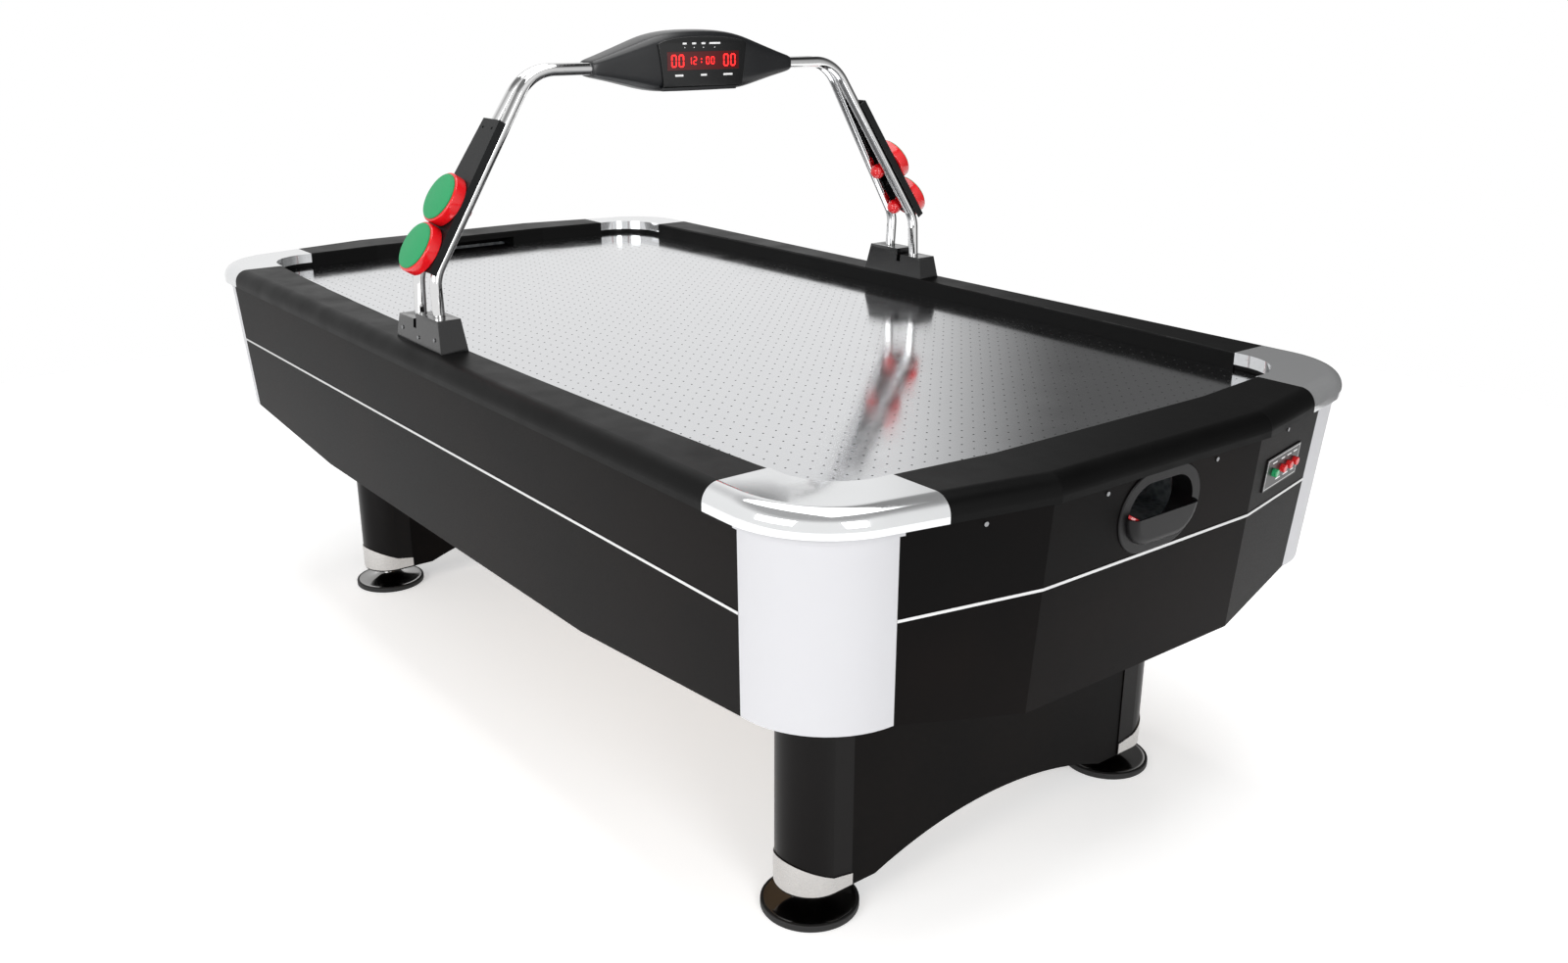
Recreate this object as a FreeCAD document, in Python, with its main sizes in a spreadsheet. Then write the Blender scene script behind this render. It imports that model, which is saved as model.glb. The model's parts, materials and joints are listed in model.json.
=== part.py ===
import FreeCAD, Part
import math
import os
import Sketcher
from FreeCAD import Placement, Rotation, Vector

# Overhead-scoring air hockey table, in millimetres.
# +X runs along the table towards the end with the controls, +Y across it, +Z up.
# The origin is on the floor, under the middle of the table.

doc = FreeCAD.newDocument("air_hockey_table")
sheet = doc.addObject("Spreadsheet::Sheet", "Dims")

DIMENSIONS = {
    "overall_length": 2440,      # over the end rails
    "overall_width": 1290,       # over the long rails
    "rail_top": 822,             # floor to the top of the rails
    "rail_height": 38,
    "rail_overhang": 14,         # rail beyond the top of the walls
    "rail_round": 28,            # outer top edge
    "rail_inner_round": 4,
    "long_rail_width": 88,       # in the middle of the table
    "long_rail_end_width": 112,  # at the corner seams, where the inner edge has curved in
    "end_rail_width": 132,
    "end_rail_taper": 18,        # how far the end rail's inner edge comes in at its seams
    "long_seam": 948,            # from the middle to the cap on a long rail
    "end_seam": 418,             # from the middle to the cap on an end rail
    "inner_corner_round": 100,
    "outer_corner_round": 165,
    "cap_wall": 3,
    "cap_lip": 22,               # height of the cap's inner face
    "field_drop": 32,            # rail top down to the playing surface
    "field_thickness": 12,
    "field_gap": 0.5,
    "wall_thickness": 18,
    "facet_half": 241,           # half the middle facet of an end
    "facet_slope": 0.204,        # how fast a side facet of an end falls back
    "side_taper": 0.062,         # walls lean in by this much per millimetre down
    "end_taper": 0.08,
    "corner_radius": 150,
    "corner_thickness": 6,
    "flange_height": 10,
    "flange_proud": 2,
    "flange_tab": 7,
    "belly_drop": 375,           # rail top down to the lowest edge of the walls
    "shoulder_drop": 338,        # rail top down to a corner panel's lower edge
    "belly_half": 545,           # where a long wall's lower edge turns up
    "pocket_strip_gap": 3.5,     # flange down to the middle of the bright strip
    "strip_width": 4.4,
    "strip_proud": 1,
    "chamber_length": 2120,
    "chamber_width": 1040,
    "chamber_depth": 88,
    "chamber_wall": 15,
    "board_thickness": 12,
    "pocket_rail_gap": 0.5,      # rail down to the pocket's flange
    "pocket_half_width": 75.5,
    "pocket_half_height": 47,
    "pocket_flange_width": 19,
    "pocket_clearance": 3,
    "pocket_flange_proud": 3,
    "pocket_bulge": 18,
    "pocket_wall": 3,
    "pocket_sleeve": 34,
    "door_clearance": 2,
    "goal_width": 300,
    "goal_depth": 72,
    "goal_height": 22,
    "chute_step": 5.5,           # cup's underside down to the chute's floor
    "chute_wall": 3,
    "puck_radius": 39,
    "puck_thickness": 6,
    "puck_recline": 35,          # degrees it leans, outer edge up
    "puck_inset": 28,            # its middle behind the end wall's face
    "puck_aside": 38,            # its middle left of the pocket's middle
    "puck_clearance": 1.9,
    "leg_position": 858,
    "leg_column": 378,           # middle of the table to a leg column's axis
    "leg_radius": 60,
    "leg_cover": 4,
    "leg_seam": 338,
    "leg_bottom": 48,
    "arch_rise": 52,
    "arch_half": 285,
    "band_thickness": 2,
    "band_low": 24,
    "band_high": 62,
    "foot_radius": 83,
    "foot_pad": 12,
    "foot_stud": 8,
    "foot_stud_length": 60,
    "stud_clearance": 0.05,
    "post_line": 587,            # middle of the table to the upright tubes
    "tube_radius": 11,
    "tube_wall": 1.5,
    "socket_clearance": 0.3,
    "tube_space_low": 62,        # clear space between the two tubes at the rail
    "tube_space_high": 2,
    "tube_knee_rise": 129,
    "tube_top_rise": 478,
    "tube_top_reach": 360,
    "knee_bend": 70,
    "top_bend": 90,
    "tube_end": 165,
    "base_length": 190,
    "base_depth": 54,
    "base_height": 58,
    "base_draft": 14,
    "holder_length": 305,
    "holder_draw_in": 3,
    "holder_top_room": 9.5,
    "holder_clearance": 9.4,     # tube out to the holder's outer face
    "holder_sheet": 2,
    "mallet_radius": 49,
    "mallet_height": 26,
    "knob_radius": 16,
    "knob_level": 55.6,
    "neck_radius": 9,
    "mallet_first": 35,
    "mallet_gap": 1,             # between the rims of two stored mallets
    "knob_clearance": 2,
    "scorer_half": 237,
    "scorer_body_half": 160,
    "scorer_depth": 100,
    "scorer_top_rise": 547,
    "scorer_bottom_rise": 430,
    "scorer_shoulder_rise": 524,
    "scorer_tip_height": 31,
    "scorer_tip_depth": 58,
    "shell_wall": 3,
    "window_width": 172,
    "window_height": 36,
    "window_rise": 489,
    "plate_width": 138,
    "plate_height": 56,
    "plate_thickness": 2.5,
    "plate_along": 112,
    "plate_drop": 119,
    "button_radius": 7,
    "button_proud": 8,
    "button_pitch": 26,
    "button_gap": 0.3,
    "button_travel": 3,
    "blower_position": -300,
    "blower_radius": 110,
    "blower_height": 88,
    "blower_wall": 4,
    "motor_radius": 38,
    "motor_height": 46,
    "impeller_radius": 95,
    "impeller_height": 44,
    "screw_radius": 3.5,
}

# Sizes that follow others: heights from the top of the rails, and what fits to the tubes and mallets.
FOLLOWING = {
    "belly_height": "rail_top - belly_drop",
    "shoulder_height": "rail_top - shoulder_drop",
    "pocket_level": "rail_top - rail_height - pocket_half_height - pocket_flange_width - pocket_rail_gap",
    "strip_level": "pocket_level - pocket_half_height - pocket_flange_width - pocket_strip_gap",
    "chute_floor": "pocket_level - pocket_half_height - pocket_wall - chute_step",
    "plate_level": "rail_top - plate_drop",
    "tube_knee_height": "rail_top + tube_knee_rise",
    "tube_top_height": "rail_top + tube_top_rise",
    "scorer_top": "rail_top + scorer_top_rise",
    "scorer_bottom": "rail_top + scorer_bottom_rise",
    "scorer_shoulder": "rail_top + scorer_shoulder_rise",
    "window_level": "rail_top + window_rise",
    "tube_gap_low": "2 * tube_radius + tube_space_low",
    "tube_gap_high": "2 * tube_radius + tube_space_high",
    "holder_half_low": "tube_gap_low / 2 + tube_radius - holder_draw_in",
    "holder_half_high": "2 * tube_radius + holder_top_room",
    "holder_stand_off": "tube_radius + holder_clearance",
    "mallet_pitch": "2 * mallet_radius + mallet_gap",
}

for row, (alias, number) in enumerate(DIMENSIONS.items(), 1):
    sheet.set(f"A{row}", alias)
    sheet.set(f"B{row}", str(number))
    sheet.setAlias(f"B{row}", alias)
for row, (alias, formula) in enumerate(FOLLOWING.items(), len(DIMENSIONS) + 1):
    sheet.set(f"A{row}", alias)
    sheet.set(f"B{row}", f"={formula}")
    sheet.setAlias(f"B{row}", alias)
doc.recompute()


class Size:
    """A size worked out from the sheet: its number now, and the formula that keeps it bound."""

    def __init__(self, number, text):
        self.number = number
        self.text = text

    def __add__(self, other):
        other = as_size(other)
        return Size(self.number + other.number, f"({self.text} + {other.text})")

    def __sub__(self, other):
        other = as_size(other)
        return Size(self.number - other.number, f"({self.text} - {other.text})")

    def __mul__(self, other):
        other = as_size(other)
        return Size(self.number * other.number, f"({self.text} * {other.text})")

    def __truediv__(self, other):
        other = as_size(other)
        return Size(self.number / other.number, f"({self.text} / {other.text})")

    def __neg__(self):
        return self * -1

    __radd__ = __add__
    __rmul__ = __mul__

    def __rsub__(self, other):
        return as_size(other) - self

    def __rtruediv__(self, other):
        return as_size(other) / self

    def __float__(self):
        return float(self.number)


def as_size(value):
    if isinstance(value, Size):
        return value
    return Size(float(value), f"({float(value)!r})")


def root(size):
    return Size(math.sqrt(size.number), f"sqrt({size.text})")


def dim(alias):
    return Size(float(sheet.get(alias)), f"Dims.{alias}")


def bind(thing, prop, size):
    thing.setExpression(prop, as_size(size).text)


nodes = []


def node(thing, label):
    """Marks an object as a sub-part; its label names its file."""
    thing.Label = label
    nodes.append(thing)
    return thing


def plane(body, role):
    return next(item for item in body.Origin.OriginFeatures if item.Role == role)


def new_sketch(body, role, height=0):
    sketch = body.newObject("Sketcher::SketchObject", "Sketch")
    sketch.AttachmentSupport = [(plane(body, role), "")]
    sketch.MapMode = "FlatFace"
    bind(sketch, "AttachmentOffset.Base.z", height)
    return sketch


def outline(sketch, corners, arcs=()):
    """Closed outline through corners. arcs maps an edge number to its signed radius:
    positive bulges to the right of the way the edge runs."""
    arcs = dict(arcs)
    first = sketch.GeometryCount
    ends = []
    for index, corner in enumerate(corners):
        start = Vector(float(corner[0]), float(corner[1]), 0)
        following = corners[(index + 1) % len(corners)]
        finish = Vector(float(following[0]), float(following[1]), 0)
        if index not in arcs:
            sketch.addGeometry(Part.LineSegment(start, finish), False)
            ends.append((1, 2))
            continue
        radius = float(arcs[index])
        chord = finish - start
        left = Vector(-chord.y, chord.x, 0).normalize()
        reach = math.sqrt(max(radius * radius - chord.Length ** 2 / 4, 0))
        centre = (start + finish) * 0.5 + left * math.copysign(reach, radius)
        circle = Part.Circle(centre, Vector(0, 0, 1), abs(radius))
        begin, end = (start, finish) if radius > 0 else (finish, start)
        angles = [math.atan2(point.y - centre.y, point.x - centre.x) for point in (begin, end)]
        sketch.addGeometry(Part.ArcOfCircle(circle, angles[0], angles[1]), False)
        ends.append((1, 2) if radius > 0 else (2, 1))
    count = len(corners)
    for index in range(count):
        after = (index + 1) % count
        joint = Sketcher.Constraint("Coincident", first + index, ends[index][1], first + after, ends[after][0])
        sketch.addConstraint(joint)
    for index, corner in enumerate(corners):
        for kind, coordinate in zip(("DistanceX", "DistanceY"), corner):
            fixed = Sketcher.Constraint(kind, -1, 1, first + index, ends[index][0], float(coordinate))
            number = sketch.addConstraint(fixed)
            sketch.setExpression(f"Constraints[{number}]", as_size(coordinate).text)
    for index, radius in arcs.items():
        number = sketch.addConstraint(Sketcher.Constraint("Radius", first + index, abs(float(radius))))
        positive = radius if float(radius) > 0 else as_size(radius) * -1
        sketch.setExpression(f"Constraints[{number}]", as_size(positive).text)


def circle(sketch, x, y, radius):
    number = sketch.addGeometry(Part.Circle(Vector(float(x), float(y), 0), Vector(0, 0, 1), float(radius)))
    for kind, value in (("DistanceX", x), ("DistanceY", y)):
        place = sketch.addConstraint(Sketcher.Constraint(kind, -1, 1, number, 3, float(value)))
        sketch.setExpression(f"Constraints[{place}]", as_size(value).text)
    place = sketch.addConstraint(Sketcher.Constraint("Radius", number, float(radius)))
    sketch.setExpression(f"Constraints[{place}]", as_size(radius).text)


def pad(body, sketch, length, both_ways=False):
    feature = body.newObject("PartDesign::Pad", "Pad")
    feature.Profile = sketch
    bind(feature, "Length", length)
    feature.Midplane = both_ways
    sketch.Visibility = False
    return feature


def pocket(body, sketch, depth=None, reverse=False):
    """Cuts the sketch out of the body: both ways through everything, or to a depth."""
    feature = body.newObject("PartDesign::Pocket", "Pocket")
    feature.Profile = sketch
    if depth is None:
        feature.Type = 1
        feature.Midplane = True
    else:
        bind(feature, "Length", depth)
        feature.Reversed = reverse
    return feature


def new_body(name):
    return doc.addObject("PartDesign::Body", name)


def edges_where(shape, test):
    return [f"Edge{number}" for number, edge in enumerate(shape.Edges, 1) if test(edge)]


def fillet(body, base, test, radius):
    doc.recompute()
    feature = body.newObject("PartDesign::Fillet", "Fillet")
    feature.Base = (base, edges_where(base.Shape, test))
    bind(feature, "Radius", radius)
    return feature


def upright_at(x, y):
    """Test for the vertical edge that stands at x, y."""
    target = Vector(float(x), float(y), 0)

    def test(edge):
        points = [Vector(vertex.X, vertex.Y, 0) for vertex in edge.Vertexes]
        return len(points) == 2 and all((point - target).Length < 0.5 for point in points)

    return test


def level_edge(height, keep):
    """Test for edges lying at a height whose middle point passes keep."""

    def test(edge):
        box = edge.BoundBox
        middle = edge.valueAt((edge.FirstParameter + edge.LastParameter) / 2)
        return box.ZLength < 0.01 and abs(box.ZMin - float(height)) < 0.01 and keep(middle)

    return test


def primitive(kind, label, sizes, at=(0, 0, 0), turn=None):
    thing = doc.addObject(kind, label)
    for prop, size in sizes.items():
        bind(thing, prop, size)
    if turn is not None:
        thing.Placement = Placement(Vector(), turn)
    for axis, value in zip("xyz", at):
        bind(thing, f"Placement.Base.{axis}", value)
    return thing


def box(label, low, high):
    """Box between two opposite corners, each given by three sizes."""
    names = ("Length", "Width", "Height")
    sizes = {name: high[index] - low[index] for index, name in enumerate(names)}
    return primitive("Part::Box", label, sizes, low)


def cylinder(label, radius, low, high, x=0, y=0):
    sizes = {"Radius": radius, "Height": as_size(high) - low}
    return primitive("Part::Cylinder", label, sizes, (x, y, low))


def cut(label, base, tool):
    thing = doc.addObject("Part::Cut", label)
    thing.Base = base
    thing.Tool = tool
    return thing


def fuse(label, parts):
    thing = doc.addObject("Part::MultiFuse", label)
    thing.Shapes = parts
    return thing


def group(label, parts):
    thing = doc.addObject("Part::Compound", label)
    thing.Links = parts
    return thing


def ready(label, shape, placement=None):
    """Sub-part whose shape is worked out with Part's own functions."""
    thing = doc.addObject("Part::Feature", label)
    thing.Shape = shape
    if placement is not None:
        thing.Placement = placement
    return thing


# ---------------------------------------------------------------- shared places
half_length = dim("overall_length") / 2
half_width = dim("overall_width") / 2
rail_bottom = dim("rail_top") - dim("rail_height")
field_top = dim("rail_top") - dim("field_drop")
field_bottom = field_top - dim("field_thickness")
slope = dim("facet_slope")
slant = root(slope * slope + 1)
mitre = (slant - 1) / slope
wall = dim("wall_thickness")


def side_face(height):
    """Distance from the middle to a long wall's outer face at a height."""
    return half_width - dim("rail_overhang") - dim("side_taper") * (rail_bottom - height)


def end_face(height):
    """Distance from the middle to an end's middle facet at a height."""
    return half_length - dim("rail_overhang") - dim("end_taper") * (rail_bottom - height)


def corner_y(height):
    """Where an end's side facet meets the rounded corner."""
    return side_face(height) - dim("corner_radius")


def facet_x(height, y, offset=0):
    """A side facet's distance along the table at a distance y across, moved out by an offset."""
    return end_face(height) + slant * offset - slope * (y - dim("facet_half"))


def corner_x(height):
    return facet_x(height, corner_y(height))


def side_end(height):
    """Where a long wall meets the rounded corner."""
    return corner_x(height) - dim("corner_radius")


def mirrored(corners, along, across):
    """Corners for one quarter of the table, reflected to another; kept in the same sense of turning."""
    turned = [(as_size(x) * along, as_size(y) * across) for x, y in corners]
    return turned


ENDS = (("control", 1), ("plain", -1))
SIDES = (("front", -1), ("rear", 1))


def loft_between(body, low, high, low_corners, high_corners, low_arcs=(), high_arcs=()):
    sections = []
    for height, corners, arcs in ((high, high_corners, high_arcs), (low, low_corners, low_arcs)):
        section = new_sketch(body, "XY_Plane", height)
        outline(section, corners, arcs)
        sections.append(section)
    loft = body.newObject("PartDesign::AdditiveLoft", "Loft")
    loft.Profile = sections[0]
    loft.Sections = [sections[1]]
    loft.Ruled = True
    return loft


# ---------------------------------------------------------------- long walls
def long_wall_section(height, across):
    outer = side_face(height)
    end = side_end(height)
    inner = outer - wall
    return mirrored([(-end, outer), (end, outer), (end, inner), (-end, inner)], 1, across)


def trim_long_belly(body, across):
    """Turns the wall's lower edge up towards both corners."""
    low = dim("belly_height")
    shoulder = dim("shoulder_height")
    inside = dim("belly_half")
    end = side_end(shoulder)
    clear = end + dim("corner_radius")
    triangle = [(inside, low), (end, shoulder), (clear, shoulder), (clear, low - wall), (inside, low - wall)]
    sketch = new_sketch(body, "XZ_Plane")
    for along in (1, -1):
        outline(sketch, mirrored(triangle, along, 1))
    pocket(body, sketch)


for side, across in SIDES:
    body = new_body(f"{side}_side_panel")
    low, high = dim("belly_height"), rail_bottom
    loft_between(body, low, high, long_wall_section(low, across), long_wall_section(high, across))
    trim_long_belly(body, across)
    node(body, f"{side}_side_panel")


# ---------------------------------------------------------------- end walls: a middle board and two side boards
def middle_section(height, along):
    outer = end_face(height)
    half = dim("facet_half")
    inner_half = half - wall * mitre
    return mirrored([(outer, -half), (outer, half), (outer - wall, inner_half), (outer - wall, -inner_half)], along, 1)


def facet_section(height, along, across):
    half = dim("facet_half")
    outer = end_face(height)
    end_y = corner_y(height)
    end_x = corner_x(height)
    inner_end = (end_x - wall / slant, end_y - wall * slope / slant)
    inner_start = (outer - wall, half - wall * mitre)
    return mirrored([(outer, half), (end_x, end_y), inner_end, inner_start], along, across)


plate_bottom = dim("plate_level") - dim("plate_height") / 2

for end, along in ENDS:
    low, high = dim("belly_height"), rail_bottom
    body = new_body(f"{end}_end_panel")
    loft_between(body, low, high, middle_section(low, along), middle_section(high, along))
    hole = new_sketch(body, "YZ_Plane")
    reach = dim("pocket_half_width") + dim("pocket_wall") + dim("pocket_clearance")
    rise = dim("pocket_half_height") + dim("pocket_wall") + dim("pocket_clearance")
    flat = reach - rise
    level = dim("pocket_level")
    corners = [(-flat, level - rise), (flat, level - rise), (flat, level + rise), (-flat, level + rise)]
    outline(hole, corners, {1: rise * 1.0001, 3: rise * 1.0001})
    opening = body.newObject("PartDesign::Pocket", "Pocket")
    opening.Profile = hole
    opening.Type = 1
    opening.Midplane = True
    node(body, f"{end}_end_panel")

    boards = []
    for across in (-1, 1):
        body = new_body(f"{end}_side_board_{'rear' if across > 0 else 'front'}")
        loft_between(body, low, high, facet_section(low, along, across), facet_section(high, along, across))
        shoulder = dim("shoulder_height")
        far = corner_y(shoulder)
        clear = far + wall
        half = dim("facet_half")
        triangle = [(half, low), (far, shoulder), (clear, shoulder), (clear, low - wall), (half, low - wall)]
        sketch = new_sketch(body, "YZ_Plane")
        outline(sketch, mirrored(triangle, across, 1))
        pocket(body, sketch)
        boards.append(body)
    if along > 0:
        # the rear board has a window for the buttons behind the control plate
        board = boards[1]
        sketch = new_sketch(board, "YZ_Plane")
        cosine = as_size(1) / slant
        middle = dim("facet_half") + dim("plate_along") * cosine
        reach = (dim("plate_width") / 2 - 8) * cosine
        rise = dim("plate_height") / 2 - dim("button_radius")
        level = dim("plate_level")
        corners = [(middle - reach, level - rise), (middle + reach, level - rise),
                   (middle + reach, level + rise), (middle - reach, level + rise)]
        outline(sketch, corners)
        pocket(board, sketch)
    node(group(f"{end}_end_side_boards", boards), f"{end}_end_side_boards")


# ---------------------------------------------------------------- rounded corner panels
def corner_section(height, along, across):
    """Quarter ring between the two walls; returns its corners and its two arcs."""
    radius = dim("corner_radius")
    inner = radius - dim("corner_thickness")
    centre_x = side_end(height)
    centre_y = corner_y(height)
    corners = [(centre_x + radius, centre_y), (centre_x, centre_y + radius),
               (centre_x, centre_y + inner), (centre_x + inner, centre_y)]
    sense = along * across
    return mirrored(corners, along, across), {0: radius * sense, 2: inner * -sense}


def flange_outline(height, along, across):
    radius = dim("corner_radius")
    inner = radius - dim("corner_thickness") / 2
    outer = radius + dim("flange_proud")
    tab = dim("flange_tab")
    centre_x = side_end(height)
    centre_y = corner_y(height)
    lean = (tab * slope / slant, tab / slant)
    corners = [(centre_x + outer + lean[0], centre_y - lean[1]), (centre_x + outer, centre_y),
               (centre_x, centre_y + outer), (centre_x - tab, centre_y + outer),
               (centre_x - tab, centre_y + radius), (centre_x, centre_y + radius),
               (centre_x, centre_y + inner), (centre_x + inner, centre_y),
               (centre_x + radius, centre_y), (centre_x + radius + lean[0], centre_y - lean[1])]
    sense = along * across
    return mirrored(corners, along, across), {1: outer * sense, 6: inner * -sense}


corner_panels = []
for end, along in ENDS:
    for side, across in SIDES:
        body = new_body(f"corner_panel_{side}_{end}")
        low, high = dim("shoulder_height"), rail_bottom
        low_corners, low_arcs = corner_section(low, along, across)
        high_corners, high_arcs = corner_section(high, along, across)
        loft_between(body, low, high, low_corners, high_corners, low_arcs, high_arcs)
        flange = new_sketch(body, "XY_Plane", rail_bottom - dim("flange_height"))
        corners, arcs = flange_outline(rail_bottom, along, across)
        outline(flange, corners, arcs)
        pad(body, flange, dim("flange_height"))
        corner_panels.append(body)
node(group("corner_panels", corner_panels), "corner_panels")


# ---------------------------------------------------------------- rails
rail_inner_mid = half_width - dim("long_rail_width")
rail_inner_end = half_width - dim("long_rail_end_width")
long_seam = dim("long_seam")
end_seam = dim("end_seam")
bow = rail_inner_mid - rail_inner_end
bow_radius = (long_seam * long_seam + bow * bow) / (bow * 2)
end_inner = half_length - dim("end_rail_width")
end_inner_seam = end_inner - dim("end_rail_taper")

for side, across in SIDES:
    body = new_body(f"{side}_long_rail")
    sketch = new_sketch(body, "XY_Plane", rail_bottom)
    corners = mirrored([(-long_seam, half_width), (long_seam, half_width),
                        (long_seam, rail_inner_end), (-long_seam, rail_inner_end)], 1, across)
    outline(sketch, corners, {2: bow_radius * across})
    feature = pad(body, sketch, dim("rail_height"))
    split = float(rail_inner_mid) + 1
    feature = fillet(body, feature, level_edge(dim("rail_top"), lambda p: abs(p.y) > float(half_width) - 1),
                     dim("rail_round"))
    fillet(body, feature, level_edge(dim("rail_top"), lambda p: abs(p.y) < split and abs(p.x) < 1),
           dim("rail_inner_round"))
    node(body, f"{side}_long_rail")

overhang = dim("rail_overhang")
bend_y = dim("facet_half") + overhang * mitre


def rail_facet_x(y, inset=0):
    return facet_x(rail_bottom, y, overhang - inset)


for end, along in ENDS:
    body = new_body(f"{end}_end_rail")
    sketch = new_sketch(body, "XY_Plane", rail_bottom)
    inner_half = dim("facet_half")
    corners = [(rail_facet_x(end_seam), -end_seam), (half_length, -bend_y), (half_length, bend_y),
               (rail_facet_x(end_seam), end_seam), (end_inner_seam, end_seam), (end_inner, inner_half),
               (end_inner, -inner_half), (end_inner_seam, -end_seam)]
    outline(sketch, mirrored(corners, along, 1))
    feature = pad(body, sketch, dim("rail_height"))
    outside = float(rail_facet_x(end_seam)) - 1
    seam = float(end_seam) - 1
    feature = fillet(body, feature,
                     level_edge(dim("rail_top"), lambda p: abs(p.x) > outside and abs(p.y) < seam),
                     dim("rail_round"))
    fillet(body, feature,
           level_edge(dim("rail_top"), lambda p: abs(p.x) < float(end_inner) + 1 and abs(p.y) < seam),
           dim("rail_inner_round"))
    # goal: a slot under the rail that the puck drops through
    goal = new_sketch(body, "XY_Plane", rail_bottom)
    half = dim("goal_width") / 2
    mouth = end_inner - dim("end_rail_taper")
    back = end_inner + dim("goal_depth")
    outline(goal, mirrored([(mouth, -half), (back, -half), (back, half), (mouth, half)], along, 1))
    pocket(body, goal, dim("goal_height"), True)
    node(body, f"{end}_end_rail")


# ---------------------------------------------------------------- chrome corner caps over solid corner blocks
def corner_outline(inset_out, inset_in, along, across):
    outer = half_width - inset_out
    corners = [(long_seam, outer), (rail_corner_x(outer, inset_out), outer),
               (rail_facet_x(end_seam, inset_out), end_seam), (end_inner_seam + inset_in, end_seam),
               (end_inner_seam + inset_in, rail_inner_end + inset_in), (long_seam, rail_inner_end + inset_in)]
    return mirrored(corners, along, across)


def rail_corner_x(y, inset):
    return rail_facet_x(y, inset)


def corner_solid(name, inset_out, inset_in, low, high, along, across, round_top):
    body = new_body(name)
    sketch = new_sketch(body, "XY_Plane", low)
    corners = corner_outline(inset_out, inset_in, along, across)
    outline(sketch, corners)
    feature = pad(body, sketch, high - low)
    sharp_outer, sharp_inner = corners[1], corners[4]
    feature = fillet(body, feature, upright_at(*sharp_outer), dim("outer_corner_round") - inset_out)
    feature = fillet(body, feature, upright_at(*sharp_inner), dim("inner_corner_round") + inset_in)
    if round_top is not None:
        doc.recompute()
        limit_y = float(half_width - inset_out) - 1
        probe = [Vector(float(x), float(y), 0) for x, y in corners]
        inner_line = float(end_inner_seam + inset_in)
        inner_side = float(rail_inner_end + inset_in)

        def outer_edge(point):
            on_seam = abs(abs(point.x) - float(long_seam)) < 0.5 or abs(abs(point.y) - float(end_seam)) < 0.5
            outside = abs(point.x) > inner_line + 5 or abs(point.y) > inner_side + 5
            return outside and not on_seam

        feature = fillet(body, feature, level_edge(high, outer_edge), round_top)
    return body


blocks = []
for end, along in ENDS:
    for side, across in SIDES:
        wall_c = dim("cap_wall")
        full = corner_solid(f"cap_full_{side}_{end}", as_size(0), wall_c, rail_bottom, dim("rail_top"),
                            along, across, dim("rail_round"))
        lip = corner_solid(f"cap_lip_{side}_{end}", dim("rail_round") * 1.5, as_size(0),
                           dim("rail_top") - dim("cap_lip"), dim("rail_top"), along, across, None)
        core = corner_solid(f"cap_core_{side}_{end}", wall_c, wall_c, rail_bottom, dim("rail_top") - wall_c,
                            along, across, dim("rail_round") - wall_c)
        form = fuse(f"cap_form_{side}_{end}", [full, lip])
        node(cut(f"corner_cap_{side}_{end}", form, core), f"corner_cap_{side}_{end}")
        blocks.append(core)
node(group("corner_blocks", blocks), "corner_blocks")


# ---------------------------------------------------------------- bright strip let into the walls
strip_low = dim("strip_level") - dim("strip_width") / 2
strip_high = dim("strip_level") + dim("strip_width") / 2
proud = dim("strip_proud")
strips = []
for side, across in SIDES:
    body = new_body(f"{side}_strip")
    sketch = new_sketch(body, "XY_Plane", strip_low)
    face = side_face(strip_high)
    end = side_end(strip_high)
    outline(sketch, mirrored([(-end, face), (end, face), (end, face + proud), (-end, face + proud)], 1, across))
    pad(body, sketch, dim("strip_width"))
    strips.append(body)
for end, along in ENDS:
    body = new_body(f"{end}_strip")
    sketch = new_sketch(body, "XY_Plane", strip_low)
    edge = corner_y(strip_high)
    face = end_face(strip_high)
    half = dim("facet_half")
    inner = [(facet_x(strip_high, edge), -edge), (face, -half), (face, half), (facet_x(strip_high, edge), edge)]
    outer = [(facet_x(strip_high, edge, proud), edge), (face + proud, half + proud * mitre),
             (face + proud, -half - proud * mitre), (facet_x(strip_high, edge, proud), -edge)]
    outline(sketch, mirrored(inner + outer, along, 1))
    pad(body, sketch, dim("strip_width"))
    strips.append(body)
node(group("trim_strips", strips), "trim_strips")


# ---------------------------------------------------------------- bottom board, air chamber, playing surface
def inside_outline(height, inset):
    """Outline just inside the walls at a height, with the rounded corners cut straight across."""
    first = (end_face(height) - inset, dim("facet_half") - inset * mitre)
    second = (corner_x(height) - inset / slant, corner_y(height) - inset * slope / slant)
    third = (side_end(height), side_face(height) - inset)
    quarter = [first, second, third]
    back = list(reversed(quarter))
    corners = mirrored(quarter, 1, 1) + mirrored(back, -1, 1) + mirrored(quarter, -1, -1) + mirrored(back, 1, -1)
    return corners


board_low = dim("shoulder_height")
body = new_body("bottom_board")
sketch = new_sketch(body, "XY_Plane", board_low)
outline(sketch, inside_outline(board_low, wall + 0.05))
pad(body, sketch, dim("board_thickness"))
sketch = new_sketch(body, "XY_Plane", board_low)
circle(sketch, dim("blower_position"), as_size(0), dim("blower_radius") * 0.8)
pocket(body, sketch)
node(body, "bottom_board")

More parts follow.
